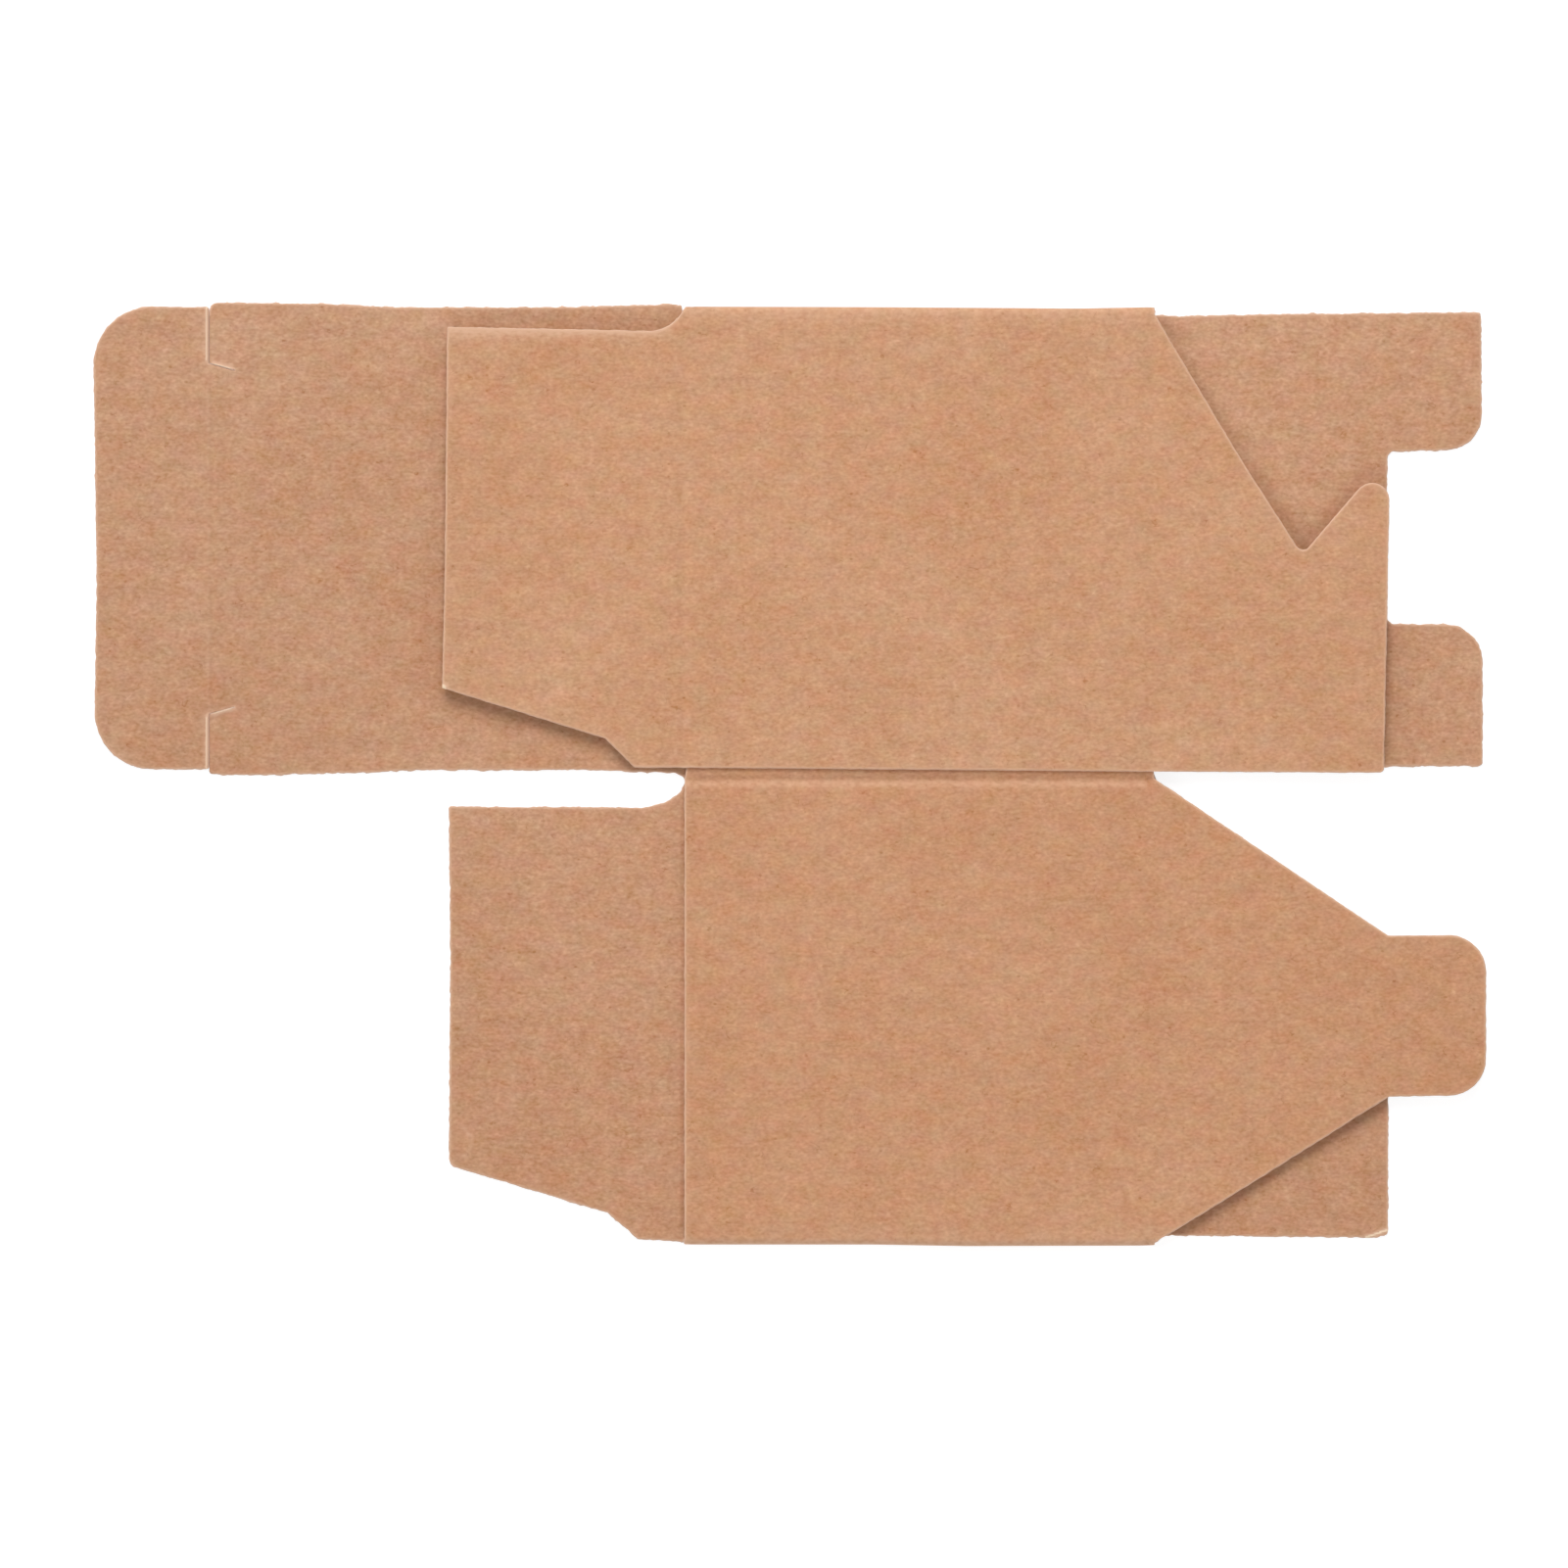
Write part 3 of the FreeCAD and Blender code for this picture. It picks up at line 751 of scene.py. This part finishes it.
def paled(n, colour, shade, fibre):
    """Paler along cut edges from rubbing, with a soft ragged border, and paler where the attribute
    wear_and_highlight says, which is partly painted highlight; torn bare where that is more than 3."""
    edge = n.add("ShaderNodeAttribute", attribute_name="from_cut").outputs["Fac"]
    wear_and_highlight = n.add("ShaderNodeAttribute", attribute_name="wear_and_highlight").outputs["Fac"]
    ragged = n.math("ADD", edge, n.math("MULTIPLY", n.math("SUBTRACT", fibre, 0.5), 0.30))
    share = n.span(ragged, 0.06, 0.30, RUBBED, 0, True)
    share = n.math("ADD", share, n.span(edge, 0.0, 0.9, 0.16, 0, True))
    # this paling is partly painted highlight, where wear_and_highlight says so
    share_paled = n.math("MULTIPLY", wear_and_highlight, n.span(fibre, 0.35, 0.65, 0.20, 0.36))
    share = n.math("ADD", share, share_paled, clamp=True)
    colour = n.mix(share, colour, tuple(own * more for own, more in zip(shade, PALER)))
    return n.mix(n.span(wear_and_highlight, 3.0, 4.4, 0, 1), colour, BARE)


def kraft(name, shade, seed, across, spread=1.0, relief=0.00003):
    """Kraft board: short fibres along the box, fine grain, mottled tint, specks and stray fibres, with
    painted shade towards the box's ends. across: how fast each channel rises across the sheet, per mm,
    partly as painted shade. spread: how strong the fibres, grain and blots are. relief: how deep they
    go, in m."""
    material = bpy.data.materials.new(name)
    n = Nodes(material)
    place = n.add("ShaderNodeUVMap", uv_map="blank").outputs["UV"]
    at = n.scaled(place, (MAP_SCALE, MAP_SCALE), (seed, 2.3 * seed))  # mm
    fibre = n.noise(n.scaled(at, (1.2, 2.3)), 1.6, 0.6)["Fac"]
    grain = n.noise(n.scaled(at, (2.6, 3.6), (11, 3), 0.25), 0.6)["Fac"]
    colour = board_colour(n, at, fibre, grain, shade, spread)
    colour = painted_falloff_and_tint(n, colour, place, across)
    colour = paled(n, colour, shade, fibre)

    surface = n.add("ShaderNodeBump")
    n.put(surface.inputs["Strength"], 1.0)
    n.put(surface.inputs["Distance"], relief)
    height = n.math("ADD", n.math("MULTIPLY", fibre, 0.8), n.math("MULTIPLY", grain, 0.4))
    n.put(surface.inputs["Height"], height)
    board = n.add("ShaderNodeBsdfPrincipled")
    n.put(board.inputs["Specular IOR Level"], 0.22)
    n.put(board.inputs["IOR"], 1.45)
    n.put(board.inputs["Base Color"], colour)
    n.put(board.inputs["Roughness"], n.span(fibre, 0.3, 0.7, 0.78, 0.92))
    n.put(board.inputs["Normal"], surface.outputs["Normal"])
    n.show("ShaderNodeOutputMaterial", board)
    return material


# the last triple of each is its rise across the sheet, partly painted shade
OUTSIDE = kraft("kraft_outside", (0.600, 0.3135, 0.1750), 3.0, (0.00007, 0.00028, 0.00041))
INSIDE = kraft("kraft_inside", (0.580, 0.309, 0.1795), 19.0, (0.00045, 0.0009, 0.0012), 1.18)
CUT = kraft("kraft_cut_edge", (0.640, 0.385, 0.245), 41.0, (0, 0, 0), 1.5, 0.00006)

# ---- the carton -----------------------------------------------------------------------------


def upper(y):
    """s of a place on the front upper panel."""
    return ACROSS - y


def lower(y):
    """s of a place on the front lower panel."""
    return -ACROSS - y


def away(place, x, s):
    """Distance from a place of the blank."""
    return np.hypot(x - place[0], s - place[1])


CUT_TOP = CUT_Y + 0.18  # the cut edge runs slightly askew, from here at the mouth
CUT_END = CUT_Y - 0.23  # to here at the base
RELIEF_TOP = 49.6  # y where the upper dust flap's relief meets the fold
TAB_TOP, TAB_LOW = -0.32, -49.45  # ends in y of the tab flap's root
NOTCH_END = -0.8  # y where the notch between lid and lower dust flap ends, at the mouth
SIDE_END = TURN - 0.05  # where the back panels' flaps end beside a fold
HOOK_CORNER = (BOTTOM + 24.9, -49.2)  # free corner of the rear hook flap
CURL, CURLED = 0.32, 2.4  # how far that has curled up, and how far from it that begins
BURR = 0.17  # height of the burrs along the slit locks' returns
WAVE = 0.012  # height of the sheet's slow waves

carton_outline = [
    # glue strip
    (MOUTH + 1.4, lower(CUT_Y + GLUED), 0.8),
    (BOTTOM - 1.6, lower(CUT_Y + GLUED), 0.8),
    (BOTTOM - 0.1, lower(0.6)),
    # root of the tab flap
    (BOTTOM, lower(TAB_TOP), 0.0, True),
    (BOTTOM - ROOT, lower(TAB_TOP), 0.0, True),
    (BOTTOM - ROOT, -TURNED, 0.0, True),
    (BOTTOM, -TURNED, 0.0, True),
    (BOTTOM, lower(TAB_LOW)),
    # rear hook flap
    (BOTTOM, -SIDE_END),
    (BOTTOM + 2.5, -48.98, 1.0),
    (BOTTOM + 23.6, -49.2, 1.5),
    (BOTTOM + 24.88, -48.86, 0.2),
    (BOTTOM + 24.95, -15.0, 1.85),
    (BOTTOM + 15.6, -25.9, 0.8),
    (BOTTOM + 0.1, -0.25),
    (BOTTOM - 0.15, 0.4, 0.2),
    # slotted flap
    (BOTTOM + 0.15, 1.05, 0.3),
    (SLOTTED_END + 0.15, 0.98, 0.5),
    (SLOTTED_END + 0.15, 16.05, 3.9),
    (SLOTTED_END - 10.0, 16.15, 0.8),
    (SLOTTED_END - 10.0, 34.45, 0.8),
    (SLOTTED_END + 0.1, 34.75, 3.9),
    (SLOTTED_END, 49.35, 0.5),
    (BOTTOM + 14, 49.15, 6.0),
    (BOTTOM + 3, 48.93, 3.0),
    (BOTTOM + 0.6, 49.0, 0.3),
    (BOTTOM, SIDE_END),
    # roots of the front hook flap and the upper dust flap, with the front upper panel's cut edge
    (BOTTOM, TURNED, 0.0, True),
    (BOTTOM - ROOT, TURNED, 0.0, True),
    (BOTTOM - ROOT, upper(CUT_END)),
    (MOUTH + ROOT, upper(CUT_TOP), 0.0, True),
    (MOUTH + ROOT, upper(RELIEF_TOP), 0.0, True),
    (MOUTH, upper(RELIEF_TOP)),
    # upper side of the lid
    (MOUTH, SIDE_END),
    (MOUTH - 0.3, 50.0, 0.25),
    (MOUTH - 1.3, 50.2, 1.0),
    (MOUTH - 12, 49.88, 12.0),
    (TUCK_LINE + 20, 49.85, 8.0),
    (TUCK_LINE + 12, 50.25, 8.0),
    (TUCK_LINE, 50.4, 1.0),
    # slit locks, with the root of the tuck flap between them
    (TUCK_LINE, TUCK_HIGH + SLIT / 2),
    (TUCK_LINE + RETURN, TUCK_HIGH + SLIT / 2 - RETURN_IN),
    (TUCK_LINE + RETURN, TUCK_HIGH - SLIT / 2 - RETURN_IN),
    (TUCK_LINE + ROOT, TUCK_HIGH - SLIT / 2 - ROOT_IN, 0.0, True),
    (TUCK_LINE + ROOT, TUCK_LOW + SLIT / 2 + ROOT_IN),
    (TUCK_LINE + RETURN, TUCK_LOW + SLIT / 2 + RETURN_IN),
    (TUCK_LINE + RETURN, TUCK_LOW - SLIT / 2 + RETURN_IN),
    (TUCK_LINE, TUCK_LOW - SLIT / 2),
    # lower side of the lid
    (TUCK_LINE, 0.28, 0.25),
    (TUCK_LINE + 1.5, 0.02, 1.5),
    (TUCK_LINE + 7, 0.08, 8.0),
    (TUCK_LINE + 18, 0.35, 4.0),
    (TUCK_LINE + 21, 0.55, 4.0),
    (MOUTH - 12, 0.58, 12.0),
    (MOUTH - 1.1, 0.3, 0.8),
    (MOUTH - 0.1, -0.12, 0.4),
    # root of the lower dust flap, then the lower fold and the front lower panel
    (MOUTH, NOTCH_END, 0.0, True),
    (MOUTH + ROOT, NOTCH_END, 0.0, True),
    (MOUTH + ROOT, -SIDE_END, 0.0, True),
    (MOUTH, -SIDE_END),
    (MOUTH, -TURNED),
    (MOUTH, lower(STRIP)),
]


def burr(x, s):
    """1 where the lid's edge stands up most, along the returns of both slit locks."""
    begun = ramp(x, TUCK_LINE - 0.2, TUCK_LINE + 0.6)
    going = ramp(-x, -TUCK_LINE - RETURN - 0.5, -TUCK_LINE - RETURN + 0.5)
    total = np.zeros_like(x)
    for side, end in ((1, TUCK_HIGH), (-1, TUCK_LOW)):
        beyond = side * (s - (end - side * SLANT * (x - TUCK_LINE)))
        total += begun * going * np.where(beyond > -0.01, bump(beyond, 0.55), 0)
    return total


def carton_lift(x, s):
    """The sheet waves slightly, the slit locks' burrs stand up, and the rear hook flap's free corner
    has curled up."""
    curl = np.clip(1 - away(HOOK_CORNER, x, s) / CURLED, 0, 1) ** 1.5
    return WAVE * waves(x, s, scale=16.0, seed=2.0) + BURR * burr(x, s) + CURL * curl


# A wear_and_highlight of 1 is as pale as the pressed folds; from 3 up the card is torn. Some of it is
# painted highlight.


def carton_wear_and_highlights(x, s):
    """The glue strip's crease is paler along its crest on the panel's side, from rubbing and as a
    painted highlight of its slope towards the light; the lower fold is paler from rubbing, and more so
    as a painted highlight where it turns away from the light.
    """
    # painted highlight on the crest's slope towards the light, with rubbing
    crest = 1.7 * bump(s + ACROSS + STRIP - 0.25, 0.65)
    on_panels = np.abs(x - (MOUTH + BOTTOM) / 2) < (BOTTOM - MOUTH) / 2 + 0.1
    # rubbing on the lower fold, raised as painted highlight where it turns from the light
    fold = 2.4 * bump(s + TURN + 1.15, 0.85) * on_panels
    # the curled corner has split along a slanting line
    off_line = 0.34 * (x - BOTTOM - 22.7) - 0.94 * (s - HOOK_CORNER[1]) + 0.12
    split = 5.0 * bump(off_line, 0.36) * (away(HOOK_CORNER, x, s) < 2.5)
    return crest + fold + split + 4.3 * burr(x, s)


# ---- the tuck flap --------------------------------------------------------------------------

EDGE_OFF, EDGE_HALF = 0.26, 0.42  # where the edge along a slit lock stands up, and half its width
RIDGE_OFF = 1.0  # how far from the crease a fainter ridge runs beside it

tuck_outline = [
    (TUCK_LINE + ROOT, TUCK_LOW + SLIT / 2 + ROOT_IN, 0.0, True),
    (TUCK_LINE + ROOT, TUCK_HIGH - SLIT / 2 - ROOT_IN),
    (TUCK_LINE, TUCK_HIGH - SLIT / 2),
    (TUCK_LINE - SLIT, TUCK_HIGH - SLIT / 2 + 0.1),
    (TUCK_LINE - SLIT, TUCK[1][1] + 0.05, 0.3),
    (TUCK_END - 0.1, TUCK[1][1] + 0.12, 6.2),
    (TUCK_END + 0.3, (TUCK[0][1] + TUCK[1][1]) / 2 - 4, 20.0),
    (TUCK_END, TUCK[0][1], 6.2),
    (TUCK_LINE - SLIT, TUCK[0][1], 0.3),
    (TUCK_LINE - SLIT, TUCK_LOW + SLIT / 2 - 0.1),
    (TUCK_LINE, TUCK_LOW + SLIT / 2),
]


def beside_slit(s):
    """1 where the tuck flap runs along one of the slit locks, 0 elsewhere along its crease."""
    above = ramp(s, TUCK_HIGH - 0.2, TUCK_HIGH + 0.3)
    below = ramp(-s, -TUCK_LOW - 0.2, 0.3 - TUCK_LOW)
    return np.clip(above + below, 0, 1)


def tuck_lift(x, s):
    """The tuck flap's edge stands up along the slit locks, with a fainter ridge beside it."""
    off = TUCK_LINE - x
    return beside_slit(s) * (0.16 * bump(off - EDGE_OFF, EDGE_HALF) + 0.05 * bump(off - RIDGE_OFF, 0.4))


def tuck_wear(x, s):
    """What stands up is worn, and so is the crease's bead between the slit locks."""
    off = TUCK_LINE - x
    along = beside_slit(s) * (4.2 * bump(off - EDGE_OFF, 0.34) + 0.8 * bump(off - RIDGE_OFF, 0.35))
    return along + (1 - beside_slit(s)) * 0.5 * bump(off + TUCK_IN - BEAD_OFF, 0.3)


# ---- the dust flaps -------------------------------------------------------------------------

DUST_TIP = (UPPER_END - 0.62, upper(9.3))  # low corner of the upper dust flap
SPRUNG = 25  # length over which a front upper flap springs up

upper_dust_outline = [
    (MOUTH + ROOT, upper(CUT_TOP)),
    (MOUTH - 5.3, upper(CUT_TOP + 0.02), 0.6),
    (MOUTH - 8.45, upper(3.95), 0.8),
    (*DUST_TIP, 0.15),
    (UPPER_END - 0.32, upper(24.0), 12.0),
    (UPPER_END - 0.1, upper(47.57), 0.2),
    (MOUTH - 1.5, upper(47.13), 4.0),
    (MOUTH, upper(RELIEF_TOP), 0.0, True),
    (MOUTH + ROOT, upper(RELIEF_TOP), 0.0, True),
]

lower_dust_outline = [
    (MOUTH + ROOT, -SIDE_END, 0.0, True),
    (MOUTH + ROOT, NOTCH_END, 0.0, True),
    (MOUTH, NOTCH_END),
    (MOUTH - 0.45, -1.75, 0.8),
    (MOUTH - 1.9, -2.75, 2.0),
    (MOUTH - 4.2, -3.38, 3.0),
    (LOWER_END, -3.28, 0.25),
    (LOWER_END + 0.15, -20.0, 30.0),
    (LOWER_END, -41.48, 0.9),
    (MOUTH - 8.2, -46.55),
    (MOUTH - 4.9, -49.4, 0.8),
    (MOUTH, -49.6, 0.0, True),
    (MOUTH, -SIDE_END, 0.0, True),
]


def spring(x, s):
    """A front upper flap springs up towards its free edge, to the height of the seam's side."""
    out = np.clip(np.maximum(MOUTH - x, x - BOTTOM) / SPRUNG, 0, 1)
    y = ACROSS - s
    return out**0.95 * (CARD + END_GAP - RISE * (TURN - y) + sagged(y))


def upper_dust_wear_and_highlight(x, s):
    """The upper dust flap is paler along its edge beside the fold, partly from rubbing and partly as a
    painted highlight where that edge bends towards the light; it is paler at the foot of its cut edge,
    and frayed at its low tip."""
    # painted highlight, with rubbing, along the edge beside the fold
    beside_fold = ramp(ACROSS - s, 46.0, 47.3) * ramp(MOUTH - x, 0.5, 3.0)
    tip = np.clip(1 - away(DUST_TIP, x, s) / 0.9, 0, 1)
    foot = ramp(s - ACROSS, -CUT_TOP - 0.45, -CUT_TOP - 0.1) * ramp(x, MOUTH - 6, MOUTH - 5)
    return 2.9 * beside_fold + 7.0 * tip + 1.6 * foot


def lower_dust_wear(x, s):
    """The lower dust flap's free corner is scuffed in an arc."""
    arc = bump(away((LOWER_END + 0.6, -39.1), x, s) - 1.8, 0.42)
    tip = np.clip(1 - away((LOWER_END, -41.4), x, s), 0, 1)
    return 1.3 * ramp(x, LOWER_END + 0.9, LOWER_END + 1.6) * arc + 1.6 * tip


# ---- the base's free flaps ------------------------------------------------------------------

TAB_SPRUNG = 35  # length over which the tab flap springs up

front_hook_outline = [
    (BOTTOM - ROOT, TURNED, 0.0, True),
    (BOTTOM, TURNED),
    (BOTTOM + 9.2, upper(33.5), 6.0),
    (BOTTOM + 13.4, upper(26.95), 3.0),
    (BOTTOM + 15.6, upper(23.45), 0.8),
    (BOTTOM + 24.97, upper(34.35), 1.85),
    (BOTTOM + 24.3, upper(0.3), 0.5),
    (BOTTOM, upper(CUT_END)),
    (BOTTOM - ROOT, upper(CUT_END), 0.0, True),
]

tab_outline = [
    (BOTTOM - ROOT, lower(TAB_TOP), 0.0, True),
    (BOTTOM, lower(TAB_TOP)),
    (BOTTOM + 24.75, lower(-16.98)),
    (TAB_END + 0.05, lower(-16.92), 3.95),
    (TAB_END + 0.05, lower(-33.95), 3.95),
    (BOTTOM + 24.9, lower(-34.1)),
    (BOTTOM + 12.5, lower(-41.93), 20.0),
    (BOTTOM, lower(TAB_LOW), 0.0, True),
    (BOTTOM, -TURNED, 0.0, True),
    (BOTTOM - ROOT, -TURNED, 0.0, True),
]


def tab_lift(x, s):
    """The tab flap springs up towards its tab, to about the level of the seam's side."""
    return np.clip((x - BOTTOM) / TAB_SPRUNG, 0, 1) ** 1.1 * (CARD - END_GAP + SAG)


# ---- pieces ---------------------------------------------------------------------------------


def bend(piece):
    """Bakes a flap's placement into its mesh."""
    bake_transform(piece)


carton = make_sheet(
    "carton_sheet",
    carton_outline,
    carton_lift,
    rag=0.20,
    seed=4.0,
    wear_and_highlight=carton_wear_and_highlights,
    details=[(BOTTOM + 24.2, -48.4, 2.6)],
)
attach(carton, "carton")
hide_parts("folded_carton")

tuck = make_sheet("tuck_sheet", tuck_outline, tuck_lift, rag=0.15, seed=5.0, wear_and_highlight=tuck_wear)
bend(tuck)
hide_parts("tuck_flap")

upper_dust = make_sheet(
    "upper_dust_sheet",
    upper_dust_outline,
    spring,
    rag=0.22,
    seed=6.0,
    front=True,
    wear_and_highlight=upper_dust_wear_and_highlight,
    details=[(UPPER_END - 0.2, upper(9.7), 1.3)],
)
bend(upper_dust)
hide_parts("upper_dust_flap")

lower_dust = make_sheet(
    "lower_dust_sheet",
    lower_dust_outline,
    nothing,
    rag=0.16,
    seed=7.0,
    wear_and_highlight=lower_dust_wear,
    details=[(LOWER_END + 1.4, -39.6, 2.8)],
)
bend(lower_dust)
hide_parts("lower_dust_flap")

front_hook = make_sheet("front_hook_sheet", front_hook_outline, spring, rag=0.22, seed=8.0, front=True)
bend(front_hook)
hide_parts("front_hook_flap")

tab = make_sheet("tab_sheet", tab_outline, tab_lift, rag=0.22, seed=9.0, front=True)
bend(tab)
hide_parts("tab_flap")

# ---- floor, light and camera, in m ----------------------------------------------------------

WHITE = (1, 1, 1, 1)


def rays_that_see(n):
    """1 for rays from the camera, also off something glossy or through something clear."""
    path = n.add("ShaderNodeLightPath").outputs
    seen = n.math("ADD", path["Is Camera Ray"], path["Is Glossy Ray"])
    return n.math("ADD", seen, path["Is Transmission Ray"], clamp=True)


def pale_floor():
    """A floor that looks nearly white, with soft shadows, and lights the box as a pale floor does."""
    material = bpy.data.materials.new("pale_floor")
    n = Nodes(material)
    seen = rays_that_see(n)
    matt = n.add("ShaderNodeBsdfDiffuse")
    n.put(matt.inputs["Color"], n.span(seen, 0, 1, 0.8, 0.3))
    glow = n.add("ShaderNodeEmission")
    n.put(glow.inputs["Color"], WHITE)
    n.put(glow.inputs["Strength"], n.math("MULTIPLY", seen, 0.85))
    both = n.add("ShaderNodeAddShader")
    n.put(both.inputs[0], matt.outputs[0])
    n.put(both.inputs[1], glow.outputs[0])
    n.show("ShaderNodeOutputMaterial", both)
    return material


def studio():
    """A world that is brighter towards the horizon than overhead, and plain white where it is seen."""
    world = bpy.data.worlds.new("studio")
    n = Nodes(world)
    sky = n.add("ShaderNodeBackground")
    n.put(sky.inputs["Color"], WHITE)
    way = n.split("ShaderNodeSeparateXYZ", n.add("ShaderNodeTexCoord").outputs["Generated"])
    strength = n.span(way[2], 0, 1, 0.58, 0.17)
    n.put(sky.inputs["Strength"], n.math("MAXIMUM", strength, rays_that_see(n)))
    n.show("ShaderNodeOutputWorld", sky)
    return world


def add_light(name, place, size, power):
    """A round lamp that shines at the middle of the box."""
    data = bpy.data.lights.new(name, "AREA")
    data.shape = "DISK"
    data.size = size
    data.energy = power
    light = bpy.data.objects.new(name, data)
    light.location = place
    light.rotation_mode = "QUATERNION"
    light.rotation_quaternion = (-Vector(place)).to_track_quat("-Z", "Y")
    bpy.context.collection.objects.link(light)


REACH = 3.0  # from the middle of the floor to its sides
FLOOR_Z = cad_box[0][2] - 0.00002  # just under the box
square = [(-REACH, -REACH), (REACH, -REACH), (REACH, REACH), (-REACH, REACH)]
floor_mesh = bpy.data.meshes.new("floor")
floor_mesh.from_pydata([(x, y, FLOOR_Z) for x, y in square], [], [(0, 1, 2, 3)])
floor_mesh.materials.append(pale_floor())
floor = bpy.data.objects.new("floor", floor_mesh)
bpy.context.collection.objects.link(floor)

bpy.context.scene.world = studio()

add_light("key", (-0.06, 0.66, 0.60), 0.62, 5.65)
add_light("left_fill", (-1.15, 0.1, 0.65), 0.6, 2.3)
add_light("right_fill", (1.15, 0.1, 0.65), 0.6, 1.3)
add_light("front_fill", (-0.1, -1.1, 0.75), 0.7, 4.5)

SENSOR = 36  # mm
WIDTH = 0.16677  # what the camera takes in, across the box's middle layer
DISTANCE = 0.75  # from the camera to that layer
MIDDLE_LAYER = 0.0009  # height of that layer
OFF_CENTRE = (-0.00052, -0.00089)  # how far from the box's middle the camera looks
camera_data = bpy.data.cameras.new("camera")
camera_data.sensor_width = SENSOR
camera_data.lens = SENSOR * DISTANCE / WIDTH
camera_data.clip_start, camera_data.clip_end = 0.01, 10
camera = bpy.data.objects.new("camera", camera_data)
centre = Vector(((TAB_END + TUCK_END) / 2000 + OFF_CENTRE[0], OFF_CENTRE[1], 0))
camera.location = centre + Vector((0, 0, DISTANCE + MIDDLE_LAYER))
bpy.context.collection.objects.link(camera)
bpy.context.scene.camera = camera

bpy.context.scene.view_settings.view_transform = "Standard"

bpy.context.view_layer.update()
